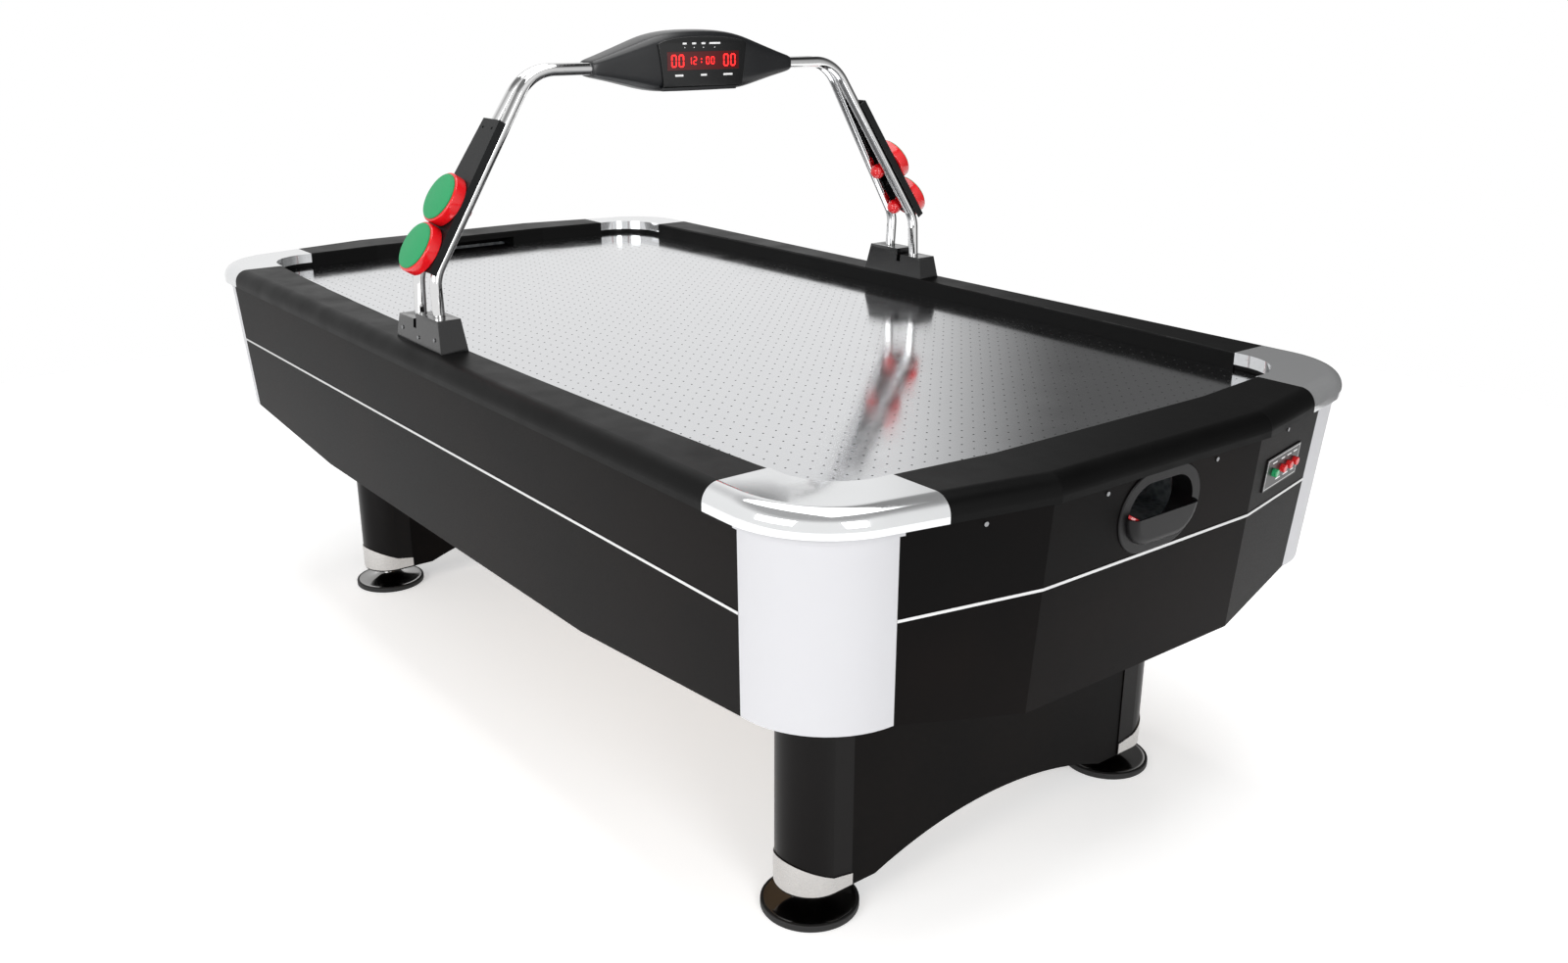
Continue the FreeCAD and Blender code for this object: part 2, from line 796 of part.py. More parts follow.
floor_top = field_bottom - dim("chamber_depth")
floor_bottom = floor_top - dim("board_thickness")
half_x = dim("chamber_length") / 2
half_y = dim("chamber_width") / 2
thick = dim("chamber_wall")
to_wall = side_face(floor_bottom) - wall - 0.05
body = new_body("air_chamber")
sketch = new_sketch(body, "XY_Plane", floor_bottom)
reach_x = side_end(floor_bottom) - 20
outline(sketch, [(-half_x, -half_y), (-reach_x, -half_y), (-reach_x, -to_wall), (reach_x, -to_wall),
                 (reach_x, -half_y), (half_x, -half_y), (half_x, half_y), (reach_x, half_y),
                 (reach_x, to_wall), (-reach_x, to_wall), (-reach_x, half_y), (-half_x, half_y)])
pad(body, sketch, dim("board_thickness"))
sketch = new_sketch(body, "XY_Plane", floor_top)
outline(sketch, [(-half_x, -half_y), (half_x, -half_y), (half_x, half_y), (-half_x, half_y)])
in_x = half_x - thick
in_y = half_y - thick
outline(sketch, [(-in_x, -in_y), (in_x, -in_y), (in_x, in_y), (-in_x, in_y)])
pad(body, sketch, dim("chamber_depth"))
sketch = new_sketch(body, "XY_Plane", floor_bottom)
circle(sketch, dim("blower_position"), as_size(0), dim("blower_radius") * 0.5)
pocket(body, sketch)
node(body, "air_chamber")

gap = dim("field_gap")
body = new_body("playfield")
sketch = new_sketch(body, "XY_Plane", field_bottom)
edge_y = rail_inner_end - gap
edge_x = end_inner_seam - gap
corners = [(-long_seam, -edge_y), (long_seam, -edge_y), (edge_x, -edge_y), (edge_x, -end_seam),
           (end_inner - gap, -dim("facet_half")), (end_inner - gap, dim("facet_half")), (edge_x, end_seam),
           (edge_x, edge_y), (long_seam, edge_y), (-long_seam, edge_y), (-edge_x, edge_y), (-edge_x, end_seam),
           (gap - end_inner, dim("facet_half")), (gap - end_inner, -dim("facet_half")), (-edge_x, -end_seam),
           (-edge_x, -edge_y)]
outline(sketch, corners, {0: bow_radius, 8: bow_radius})
feature = pad(body, sketch, dim("field_thickness"))


def field_corner(edge):
    return any(upright_at(edge_x * along, edge_y * across)(edge) for _, along in ENDS for _, across in SIDES)


fillet(body, feature, field_corner, dim("inner_corner_round"))
node(body, "playfield")

# ---------------------------------------------------------------- goal chutes: the puck drops in and slides to its pocket
chutes = []
sheet_wall = dim("chute_wall")
chute_half = dim("goal_width") / 2 + 1
for end, along in ENDS:
    near = half_x + 1
    far = end_inner + dim("goal_depth") + 1
    low = dim("chute_floor") - sheet_wall
    lo_x, hi_x = (near, far + sheet_wall) if along > 0 else (-far - sheet_wall, -near)
    shell = box(f"{end}_chute_outside", (lo_x, -chute_half - sheet_wall, low),
                (hi_x, chute_half + sheet_wall, rail_bottom))
    lo_x, hi_x = (near + sheet_wall, far) if along > 0 else (-far, -near - sheet_wall)
    room = box(f"{end}_chute_room", (lo_x, -chute_half, low + sheet_wall), (hi_x, chute_half, rail_bottom + 1))
    lo_x, hi_x = (near - 1, far - 10) if along > 0 else (10 - far, 1 - near)
    notch = box(f"{end}_chute_notch", (lo_x, -chute_half - 9, field_bottom), (hi_x, chute_half + 9, rail_bottom + 1))
    flat = dim("pocket_half_width") + dim("door_clearance")
    lo_x, hi_x = (far - 1, far + sheet_wall + 1) if along > 0 else (-far - sheet_wall - 1, 1 - far)
    door = box(f"{end}_chute_door", (lo_x, -flat, dim("chute_floor")),
               (hi_x, flat, dim("pocket_level") + dim("pocket_half_height") - 6))
    chutes.append(cut(f"{end}_chute", shell, fuse(f"{end}_chute_space", [room, notch, door])))
node(group("goal_chutes", chutes), "goal_chutes")


# ---------------------------------------------------------------- puck return pockets
def stadium(half_width, half_height):
    flat = half_width - half_height
    corners = [(-flat, -half_height), (flat, -half_height), (flat, half_height), (-flat, half_height)]
    return corners, {1: half_height * 1.0001, 3: half_height * 1.0001}


lean_angle = math.degrees(math.atan(float(dim("end_taper"))))


def pocket_frame(along):
    """Turns X out of the leaning end wall; the pocket's own Y and Z stay across and up the wall."""
    spin = Rotation(Vector(0, 0, 1), 0 if along > 0 else 180)
    return spin.multiply(Rotation(Vector(0, 1, 0), lean_angle))


half_w = dim("pocket_half_width")
half_h = dim("pocket_half_height")
shell_wall = dim("pocket_wall")
for end, along in ENDS:
    outside = new_body(f"{end}_cup_outside")
    sketch = new_sketch(outside, "YZ_Plane", 0)
    corners, arcs = stadium(half_w + dim("pocket_flange_width"), half_h + dim("pocket_flange_width"))
    outline(sketch, corners, arcs)
    feature = pad(outside, sketch, dim("pocket_flange_proud"))
    front = float(dim("pocket_flange_proud"))
    fillet(outside, feature, lambda edge: edge.BoundBox.XMin > front - 0.01, dim("pocket_flange_proud") * 0.8)
    sketch = new_sketch(outside, "YZ_Plane", -dim("pocket_sleeve"))
    corners, arcs = stadium(half_w + shell_wall, half_h + shell_wall)
    outline(sketch, corners, arcs)
    pad(outside, sketch, dim("pocket_sleeve"))
    # scoop: the lower part of the opening bulges out to a level rim
    sketch = new_sketch(outside, "YZ_Plane", 0)
    flat = half_w - half_h
    out_h = half_h + shell_wall
    out_w = half_w + shell_wall
    outline(sketch, [(-flat, -out_h), (flat, -out_h), (out_w, as_size(0)), (-out_w, as_size(0))],
            {1: out_h * 1.0001, 3: out_h * 1.0001})
    feature = pad(outside, sketch, dim("pocket_bulge"))
    front = float(dim("pocket_bulge"))
    fillet(outside, feature, lambda edge: edge.BoundBox.XMin > front - 0.01 and edge.BoundBox.ZMin < -1,
           dim("pocket_bulge") * 0.8)
    room = new_body(f"{end}_cup_room")
    sketch = new_sketch(room, "YZ_Plane", -dim("pocket_sleeve") - 1)
    corners, arcs = stadium(half_w, half_h)
    outline(sketch, corners, arcs)
    feature = pad(room, sketch, dim("pocket_sleeve") + 1 + dim("pocket_bulge") - shell_wall)
    back = float(dim("pocket_bulge") - shell_wall)
    fillet(room, feature, lambda edge: edge.BoundBox.XMin > back - 0.01, dim("pocket_bulge") * 0.8 - shell_wall)
    for body in (outside, room):
        body.Placement = Placement(Vector(), pocket_frame(along))
        bind(body, "Placement.Base.x", end_face(dim("pocket_level")) * along)
        bind(body, "Placement.Base.z", dim("pocket_level"))
    node(cut(f"{end}_pocket_cup", outside, room), f"{end}_pocket_cup")

body = new_body("puck")
sketch = new_sketch(body, "XY_Plane", -dim("puck_thickness") / 2)
circle(sketch, as_size(0), as_size(0), dim("puck_radius"))
feature = pad(body, sketch, dim("puck_thickness"))
fillet(body, feature, lambda edge: edge.BoundBox.ZLength < 0.01, as_size(1.2))
# it lies across the cup's rounded left side, its outer edge up at the rim
recline = float(dim("puck_recline"))
body.Placement = Placement(Vector(), Rotation(Vector(1, 0, 0), -recline))
lift = dim("puck_radius") * math.sin(math.radians(recline)) + dim("puck_thickness") / 2
bind(body, "Placement.Base.x", end_face(dim("pocket_level")) - dim("puck_inset"))
bind(body, "Placement.Base.y", 0 - dim("puck_aside"))
bind(body, "Placement.Base.z", dim("pocket_level") - half_h + lift + dim("puck_clearance"))
node(body, "puck")

# ---------------------------------------------------------------- blower under the air chamber
spot = dim("blower_position")
top = floor_bottom
low = top - dim("blower_height")
skin = dim("blower_wall")
drum = cylinder("drum", dim("blower_radius"), low, top, spot)
room = cylinder("drum_room", dim("blower_radius") - skin, low + skin, top - skin, spot)
outlet = cylinder("drum_outlet", dim("blower_radius") * 0.5, top - skin - 1, top + 1, spot)
shaft_hole = cylinder("drum_shaft_hole", as_size(6), low - 1, low + skin + 1, spot)
inlets = []
for turn in range(8):
    angle = math.radians(turn * 45)
    offset = dim("blower_radius") * 0.62
    inlets.append(cylinder(f"inlet_{turn}", as_size(14), low - 1, low + skin + 1,
                           spot + offset * math.cos(angle), offset * math.sin(angle)))
node(cut("blower_housing", drum, fuse("drum_spaces", [room, outlet, shaft_hole] + inlets)), "blower_housing")
can = cylinder("motor_can", dim("motor_radius"), low - dim("motor_height"), low, spot)
shaft = cylinder("motor_shaft", as_size(4), low - 1, low + dim("impeller_height"), spot)
node(fuse("blower_motor", [can, shaft]), "blower_motor")
wheel_low = low + skin + 8
wheel_high = wheel_low + dim("impeller_height")
disc = cylinder("wheel_disc", dim("impeller_radius"), wheel_low, wheel_low + 3, spot)
hub = cylinder("wheel_hub", as_size(14), wheel_low, wheel_high, spot)
blades = []
for turn in range(12):
    blade = box(f"blade_{turn}", (dim("impeller_radius") * 0.45, as_size(-1), as_size(0)),
                (dim("impeller_radius") - 1, as_size(1), dim("impeller_height")))
    blade.Placement.Rotation = Rotation(Vector(0, 0, 1), turn * 30)
    angle = math.radians(turn * 30)
    start = dim("impeller_radius") * 0.45
    bind(blade, "Placement.Base.x", spot + start * math.cos(angle) + math.sin(angle))
    bind(blade, "Placement.Base.y", start * math.sin(angle) - math.cos(angle))
    bind(blade, "Placement.Base.z", wheel_low)
    blades.append(blade)
bore = cylinder("wheel_bore", as_size(4.05), wheel_low - 1, wheel_high + 1, spot)
node(cut("blower_impeller", fuse("wheel", [disc, hub] + blades), bore), "blower_impeller")

# ---------------------------------------------------------------- power inlet under the bottom board
inlet_x = dim("blower_position") - 320
shell = box("inlet_shell", (inlet_x - 30, as_size(-17), board_low - 24), (inlet_x + 30, as_size(17), board_low))
mouth = box("inlet_mouth", (inlet_x - 24, as_size(-11), board_low - 25), (inlet_x + 24, as_size(11), board_low - 6))
pins = []
for number, across in enumerate((-14, 0, 14)):
    pins.append(box(f"inlet_pin_{number}", (inlet_x + across - 3, as_size(-1), board_low - 20),
                    (inlet_x + across + 3, as_size(1), board_low - 5)))
node(fuse("power_inlet", [cut("inlet_body", shell, mouth)] + pins), "power_inlet")

# ---------------------------------------------------------------- control plate and its buttons
lean = dim("end_taper").number
run = Vector(-float(slope), 1, 0).normalize()
normal = Vector(1, float(slope), -lean).normalize()
rise_way = normal.cross(run)
facet_turn = Rotation(run, rise_way, normal, "XZY")


def on_facet(body, along_facet, proud_by=0):
    """Places a body on the rear board of the control end, its Z out of the wall."""
    body.Placement = Placement(Vector(), facet_turn)
    step = as_size(along_facet) / slant
    bind(body, "Placement.Base.x", end_face(dim("plate_level")) - step * slope + proud_by * normal.x)
    bind(body, "Placement.Base.y", dim("facet_half") + step + proud_by * normal.y)
    bind(body, "Placement.Base.z", dim("plate_level") + as_size(proud_by) * normal.z)


first_button = dim("plate_along") - 37
BUTTONS = (("power", first_button), ("time", dim("plate_along") - 4),
           ("points", dim("plate_along") - 4 + dim("button_pitch")),
           ("reset", dim("plate_along") - 4 + dim("button_pitch") * 2))
body = new_body("control_plate")
sketch = new_sketch(body, "XY_Plane", 0)
half_plate = dim("plate_width") / 2
tall = dim("plate_height") / 2
outline(sketch, [(-half_plate, -tall), (half_plate, -tall), (half_plate, tall), (-half_plate, tall)])
for _, place in BUTTONS:
    circle(sketch, place - dim("plate_along"), as_size(0), dim("button_radius") + dim("button_gap"))
pad(body, sketch, dim("plate_thickness"))
on_facet(body, dim("plate_along"))
node(body, "control_plate")
for name, place in BUTTONS:
    body = new_body(f"button_{name}")
    sketch = new_sketch(body, "XY_Plane", -dim("button_travel") * 5)
    circle(sketch, as_size(0), as_size(0), dim("button_radius"))
    feature = pad(body, sketch, dim("button_travel") * 5 + dim("plate_thickness") + dim("button_proud"))
    crown = float(dim("plate_thickness") + dim("button_proud"))
    fillet(body, feature, lambda edge: edge.BoundBox.ZMin > crown - 0.01, as_size(1.5))
    sketch = new_sketch(body, "XY_Plane", -dim("button_travel"))
    circle(sketch, as_size(0), as_size(0), dim("button_radius") + 2)
    pad(body, sketch, dim("button_travel") - 0.05)
    on_facet(body, place)
    node(body, f"button_{name}")

# ---------------------------------------------------------------- pedestals, column covers, bright bands
leg_low = dim("leg_bottom")
core_radius = dim("leg_radius") - dim("leg_cover")
covers = []
bands = []


def column_outline(radius, along, across):
    """Column's outer half: two straight sides and a round end, as a strip of a given thickness."""
    x = dim("leg_position") * along
    seam = dim("leg_seam") * across
    centre = dim("leg_column") * across
    return [(x - radius, seam), (x - radius, centre), (x + radius, centre), (x + radius, seam)]


def half_column(name, outer, inner, low, high, along, across):
    body = new_body(name)
    sketch = new_sketch(body, "XY_Plane", low)
    outline(sketch, column_outline(outer, along, across), {1: outer * (-1.0001 * across)})
    pad(body, sketch, high - low)
    if inner is not None:
        sketch = new_sketch(body, "XY_Plane", low)
        outline(sketch, column_outline(inner, along, across), {1: inner * (-1.0001 * across)})
        pocket(body, sketch)
    return body


for end, along in ENDS:
    body = new_body(f"{end}_pedestal")
    sketch = new_sketch(body, "XY_Plane", leg_low)
    x = dim("leg_position") * along
    seam = dim("leg_seam")
    web = core_radius + 2
    far = dim("leg_column")
    outline(sketch, [(x - web, -seam), (x - core_radius, -seam), (x - core_radius, -far), (x + core_radius, -far),
                     (x + core_radius, -seam), (x + web, -seam), (x + web, seam), (x + core_radius, seam),
                     (x + core_radius, far), (x - core_radius, far), (x - core_radius, seam), (x - web, seam)],
            {2: core_radius * 1.0001, 8: core_radius * 1.0001})
    pad(body, sketch, board_low - leg_low)
    arch = new_sketch(body, "YZ_Plane", 0)
    half = dim("arch_half")
    arch_rise = dim("arch_rise")
    arch_radius = (half * half + arch_rise * arch_rise) / (arch_rise * 2)
    outline(arch, [(-half, leg_low - 20), (half, leg_low - 20), (half, leg_low), (-half, leg_low)], {2: arch_radius})
    pocket(body, arch)
    holes = new_sketch(body, "XY_Plane", leg_low)
    for _, across in SIDES:
        circle(holes, x, far * across, dim("foot_stud") + dim("stud_clearance"))
    pocket(body, holes, dim("foot_stud_length") + 4, True)
    node(body, f"{end}_pedestal")
    for side, across in SIDES:
        name = f"{side}_{end}"
        covers.append(half_column(f"cover_{name}", dim("leg_radius"), core_radius, leg_low,
                                  dim("belly_height"), along, across))
        band = half_column(f"band_{name}", dim("leg_radius") + dim("band_thickness"), dim("leg_radius"),
                           leg_low + 4, leg_low + dim("band_high") + 4, along, across)
        sweep = new_sketch(band, "YZ_Plane", 0)
        tip = far + dim("leg_radius") + 5
        low_edge = leg_low + dim("band_low")
        high_edge = leg_low + dim("band_high")
        outline(sweep, mirrored([(seam - 5, low_edge), (far, low_edge + 8), (tip, high_edge), (tip, high_edge + 20),
                                 (seam - 5, high_edge + 20)], across, 1))
        pocket(band, sweep)
        bands.append(band)
node(group("column_covers", covers), "column_covers")
node(group("leg_bands", bands), "leg_bands")

# ---------------------------------------------------------------- levelling feet
for end, along in ENDS:
    for side, across in SIDES:
        body = new_body(f"leveller_{side}_{end}")
        sketch = new_sketch(body, "XZ_Plane", 0)
        wide = dim("foot_radius")
        pad_top = dim("foot_pad")
        neck = wide * 0.27
        stud = dim("foot_stud")
        crest = leg_low
        rise_by = crest - 4 - pad_top
        spread = wide * 0.95 - neck
        trumpet = (spread * spread + rise_by * rise_by) / (rise_by * 2) * 1.25
        outline(sketch, [(as_size(0), as_size(0)), (wide, as_size(0)), (wide, pad_top), (wide * 0.95, pad_top),
                         (neck, crest - 4), (neck, crest), (stud, crest),
                         (stud, crest + dim("foot_stud_length")), (as_size(0), crest + dim("foot_stud_length"))],
                {3: -trumpet})
        turned = body.newObject("PartDesign::Revolution", "Turned")
        turned.Profile = sketch
        turned.ReferenceAxis = (sketch, ["V_Axis"])
        turned.Angle = 360
        bind(body, "Placement.Base.x", dim("leg_position") * along)
        bind(body, "Placement.Base.y", dim("leg_column") * across)
        node(body, f"leveller_{side}_{end}")

# ---------------------------------------------------------------- post bases and the two bent tubes on each side
low_x = dim("tube_gap_low") / 2
high_x = dim("tube_gap_high") / 2
post = dim("post_line")
base_bodies = {}
for side, across in SIDES:
    body = new_body(f"{side}_base_block")
    base_low = dim("rail_top")
    base_high = base_low + dim("base_height")

    def base_section(inset):
        half_l = dim("base_length") / 2 - inset
        half_d = dim("base_depth") / 2 - inset / 3
        near, far = post - half_d, post + half_d
        return mirrored([(-half_l, near), (half_l, near), (half_l, far), (-half_l, far)], 1, across)

    loft_between(body, base_low, base_high, base_section(as_size(0)), base_section(dim("base_draft")))
    # the left-hand socket stands a little lower, with a rounded notch beside it
    step = new_sketch(body, "XZ_Plane", 0)
    shelf = base_high - 12
    notch_x = as_size(-10)
    outline(step, mirrored([(-dim("base_length"), shelf), (notch_x - 12, shelf), (notch_x - 12, shelf - 16),
                            (notch_x, shelf - 16), (notch_x, base_high + 5), (-dim("base_length"), base_high + 5)],
                           -across, 1))
    pocket(body, step)
    base_bodies[side] = body



def rounded_path(points, radii):
    """Wire of straight runs joined by tangent arcs."""
    edges = []
    start = points[0]
    for index, radius in enumerate(radii, 1):
        corner = points[index]
        into = (corner - points[index - 1]).normalize()
        out = (points[index + 1] - corner).normalize()
        turn = into.getAngle(out)
        back = radius * math.tan(turn / 2)
        first = corner - into * back
        last = corner + out * back
        inward = (out - into).normalize()
        centre = corner + inward * (radius / math.cos(turn / 2))
        middle = centre - inward * radius
        edges.append(Part.LineSegment(start, first).toShape())
        edges.append(Part.Arc(first, middle, last).toShape())
        start = last
    edges.append(Part.LineSegment(start, points[-1]).toShape())
    return Part.Wire(edges)


def bar_along(path, radius):
    first = path.Edges[0]
    ring = Part.Circle(first.valueAt(first.FirstParameter), first.tangentAt(first.FirstParameter), radius)
    return path.makePipeShell([Part.Wire(ring.toShape())], True, False)


vertical = dim("tube_knee_height") - dim("rail_top")
rise_part = dim("tube_top_height") - dim("tube_knee_height")
reach_part = post - dim("tube_top_reach")
sloping = root(rise_part * rise_part + reach_part * reach_part)
closing = (low_x - high_x) / (vertical + sloping)
knee_x = low_x - closing * vertical
for side, across in SIDES:
    tubes = []
    sockets = []
    for way in (-1, 1):
        points = [Vector(way * float(low_x), across * float(post), float(dim("rail_top")) + 8),
                  Vector(way * float(knee_x), across * float(post), float(dim("tube_knee_height"))),
                  Vector(way * float(high_x), across * float(dim("tube_top_reach")), float(dim("tube_top_height"))),
                  Vector(way * float(high_x), across * float(dim("tube_end")), float(dim("tube_top_height")))]
        path = rounded_path(points, [float(dim("knee_bend")), float(dim("top_bend"))])
        outside = bar_along(path, float(dim("tube_radius")))
        inside = bar_along(path, float(dim("tube_radius") - dim("tube_wall")))
        hand = "left" if way < 0 else "right"
        tubes.append(ready(f"{side}_tube_{hand}", outside.cut(inside)))
        sockets.append(ready(f"{side}_socket_{hand}", bar_along(path, float(dim("tube_radius") + dim("socket_clearance")))))
    node(group(f"{side}_post_tubes", tubes), f"{side}_post_tubes")
    both_sockets = fuse(f"{side}_sockets", sockets)
    node(cut(f"{side}_post_base", base_bodies[side], both_sockets), f"{side}_post_base")

# ---------------------------------------------------------------- mallet holders, mallets and their felts
slope_y = reach_part / sloping
slope_z = rise_part / sloping


def on_slope(body, across, up_slope):
    """Places a body on the tubes' sloping run: its Y up the slope, its Z away from the table."""
    side_way = Vector(-across, 0, 0)
    up_way = Vector(0, -across * float(slope_y), float(slope_z))
    out_way = side_way.cross(up_way)
    body.Placement = Placement(Vector(), Rotation(side_way, up_way, out_way, "XYZ"))
    bind(body, "Placement.Base.y", (post - as_size(up_slope) * slope_y) * across)
    bind(body, "Placement.Base.z", dim("tube_knee_height") + as_size(up_slope) * slope_z)


face = dim("holder_stand_off")
skin = dim("holder_sheet")
long_side = dim("holder_length")
low_half = dim("holder_half_low")
high_half = dim("holder_half_high")
for side, across in SIDES:
    body = new_body(f"{side}_mallet_holder")
    sketch = new_sketch(body, "XY_Plane", face - skin)
    outline(sketch, [(-low_half, as_size(0)), (low_half, as_size(0)), (high_half, long_side), (-high_half, long_side)])
    pad(body, sketch, skin)
    flanges = new_sketch(body, "XY_Plane", face - 15)
    for way in (-1, 1):
        strip = [(low_half - skin, as_size(0)), (low_half, as_size(0)), (high_half, long_side),
                 (high_half - skin, long_side)]
        outline(flanges, mirrored(strip, way, 1))
    pad(body, flanges, as_size(15) - skin)
    straps = new_sketch(body, "XY_Plane", dim("tube_radius") + 0.03)
    first_gap = dim("mallet_first") + dim("mallet_pitch") / 2
    for centre in (first_gap, long_side * 0.8):
        half = low_half - (low_half - high_half) * (centre + 6) / long_side - skin / 2
        outline(straps, [(-half, centre - 6), (half, centre - 6), (half, centre + 6), (-half, centre + 6)])
    pad(body, straps, face - skin - dim("tube_radius") - 0.03)
    holes = new_sketch(body, "XY_Plane", 0)
    for number in range(2):
        circle(holes, as_size(0), dim("mallet_first") + dim("mallet_pitch") * number,
               dim("knob_radius") + dim("knob_clearance"))
    for way in (-1, 1):
        circle(holes, high_half * (0.55 * way), long_side - 18, as_size(3))
    pocket(body, holes)
    on_slope(body, across, 0)
    node(body, f"{side}_mallet_holder")
    for number, name in enumerate(("low", "high")):
        place = dim("mallet_first") + dim("mallet_pitch") * number
        seat = face + 0.1
        crown = seat + dim("mallet_height") - 3
        wide = dim("mallet_radius")
        neck = dim("neck_radius")
        ball = dim("knob_radius")
        ball_level = crown + 3 - dim("knob_level")
        body = new_body(f"mallet_{side}_{name}")
        sketch = new_sketch(body, "XZ_Plane", 0)
        shoulder = root(ball * ball - neck * neck)
        outline(sketch, [(as_size(0), ball_level - ball), (neck, ball_level + shoulder), (neck, seat + 5),
                         (neck * 1.6, seat + 1.5), (wide * 0.8, seat), (wide - 3, seat), (wide, seat + 3),
                         (wide, crown - 3), (wide - 3, crown), (as_size(0), crown)], {0: ball * 1.0})
        turned = body.newObject("PartDesign::Revolution", "Turned")
        turned.Profile = sketch
        turned.ReferenceAxis = (sketch, ["V_Axis"])
        turned.Angle = 360
        on_slope(body, across, place)
        node(body, f"mallet_{side}_{name}")
        body = new_body(f"mallet_felt_{side}_{name}")
        sketch = new_sketch(body, "XY_Plane", crown)
        circle(sketch, as_size(0), as_size(0), wide - 4)
        pad(body, sketch, as_size(3))
        on_slope(body, across, place)
        node(body, f"mallet_felt_{side}_{name}")

# ---------------------------------------------------------------- scoring unit
unit_half = dim("scorer_body_half")
deep = dim("scorer_depth") / 2
tube_level = dim("tube_top_height")
base_half = unit_half - 55
low_end = dim("scorer_bottom") + 14
shoulder = dim("scorer_shoulder")
crest = dim("scorer_top") - shoulder
crest_radius = (unit_half * unit_half + crest * crest) / (crest * 2)


def unit_outline(inset):
    """Front view of the unit's middle housing; the top is arched."""
    half = unit_half
    return [(-half, low_end + inset), (inset * 0.3 - base_half, dim("scorer_bottom") + inset),
            (base_half - inset * 0.3, dim("scorer_bottom") + inset), (half, low_end + inset),
            (half, shoulder - inset), (-half, shoulder - inset)]


def half_unit(name, way):
    thick = dim("shell_wall")
    body = new_body(name)
    sketch = new_sketch(body, "YZ_Plane", 0)
    outline(sketch, unit_outline(as_size(0)), {4: crest_radius})
    outer = body.newObject("PartDesign::Pad", "Pad")
    outer.Profile = sketch
    bind(outer, "Length", deep)
    outer.Reversed = way < 0
    sketch = new_sketch(body, "YZ_Plane", 0)
    outline(sketch, unit_outline(thick), {4: crest_radius})
    inner = pocket(body, sketch, deep - thick, way > 0)
    sketch = new_sketch(body, "YZ_Plane", 0)
    half = dim("window_width") / 2
    tall = dim("window_height") / 2
    level = dim("window_level")
    outline(sketch, [(-half, level - tall), (half, level - tall), (half, level + tall), (-half, level + tall)])
    pocket(body, sketch)
    return body


shells = [half_unit("scorer_front_half", 1), half_unit("scorer_rear_half", -1)]
node(group("scorer_shells", shells), "scorer_shells")

caps = []
for side, across in SIDES:
    name = f"{side}_scorer_cap"
    body = new_body(name)
    tip = dim("scorer_tip_height") / 2
    drawn = []
    for y, half_tip, low, high, bevel in (
            (unit_half, deep, low_end, shoulder, 12),
            (dim("scorer_half"), dim("scorer_tip_depth") / 2, tube_level - tip, tube_level + tip, 6)):
        sketch = new_sketch(body, "XZ_Plane", y * -across)
        outline(sketch, [(bevel - half_tip, low), (half_tip - bevel, low), (half_tip, low + bevel),
                         (half_tip, high - bevel), (half_tip - bevel, high), (bevel - half_tip, high),
                         (-half_tip, high - bevel), (-half_tip, low + bevel)])
        drawn.append(sketch)
    loft = body.newObject("PartDesign::AdditiveLoft", "Loft")
    loft.Profile = drawn[0]
    loft.Sections = [drawn[1]]
    loft.Ruled = True
    sketch = new_sketch(body, "XZ_Plane", 0)
    for way in (-1, 1):
        circle(sketch, high_x * way, tube_level, dim("tube_radius") + 0.05)
    pocket(body, sketch)
    caps.append(body)
node(group("scorer_end_caps", caps), "scorer_end_caps")

panes = []
half = dim("window_width") / 2 - 0.05
tall = dim("window_height") / 2 - 0.05
level = dim("window_level")
skin = dim("shell_wall")
panes.append(box("front_window", (deep - skin, -half, level - tall), (deep - 0.6, half, level + tall)))
panes.append(box("rear_window", (0.6 - deep, -half, level - tall), (skin - deep, half, level + tall)))
node(group("scorer_windows", panes), "scorer_windows")
board = box("display_board", (as_size(-0.8), -base_half * 0.9, dim("scorer_bottom") + skin),
            (as_size(0.8), base_half * 0.9, shoulder - 8))
block = box("display_block", (6 - deep, -half * 0.95, level - tall * 0.85), (deep - 6, half * 0.95, level + tall * 0.85))
node(fuse("scorer_board", [board, block]), "scorer_board")

# ---------------------------------------------------------------- visible screws
heads = []
head = float(dim("screw_radius"))


def screw_head(point, way):
    way = Vector(way).normalize()
    heads.append(Part.makeCylinder(head, 1.6, Vector(*[float(value) for value in point]), way))


screw_level = rail_bottom - 16
for _, along in ENDS:
    for _, across in SIDES:
        screw_head((end_face(screw_level) * along, dim("facet_half") * (0.53 * across), screw_level),
                   (along, 0, -lean))
        y = dim("facet_half") * 1.45
        screw_head((facet_x(screw_level, y) * along, y * across, screw_level),
                   (along, float(slope) * across, -lean))
for _, across in SIDES:
    edge = post + dim("base_depth") / 2
    draft = float(dim("base_draft")) / 3 / float(dim("base_height"))
    for x, rise in ((-0.36, 22), (0.0, 15), (0.36, 22)):
        y = float(edge) - draft * rise
        screw_head((dim("base_length") * x, y * across, dim("rail_top") + rise), (0, across, draft))
ready("screw_heads", Part.makeCompound(heads))
node(doc.getObject("screw_heads"), "screws")

doc.recompute()

faults = [thing.Label for thing in doc.Objects if "Invalid" in thing.State or "Error" in thing.State]
faults += [thing.Label for thing in nodes if thing.Shape.isNull() or not thing.Shape.isValid()]
if faults:
    raise RuntimeError("not built: " + ", ".join(faults))

os.makedirs("parts", exist_ok=True)
for thing in nodes:
    thing.Shape.exportStep(f"parts/{thing.Label}.step")
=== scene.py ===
import json
import math

import bmesh
import bpy
from mathutils import Matrix, Vector


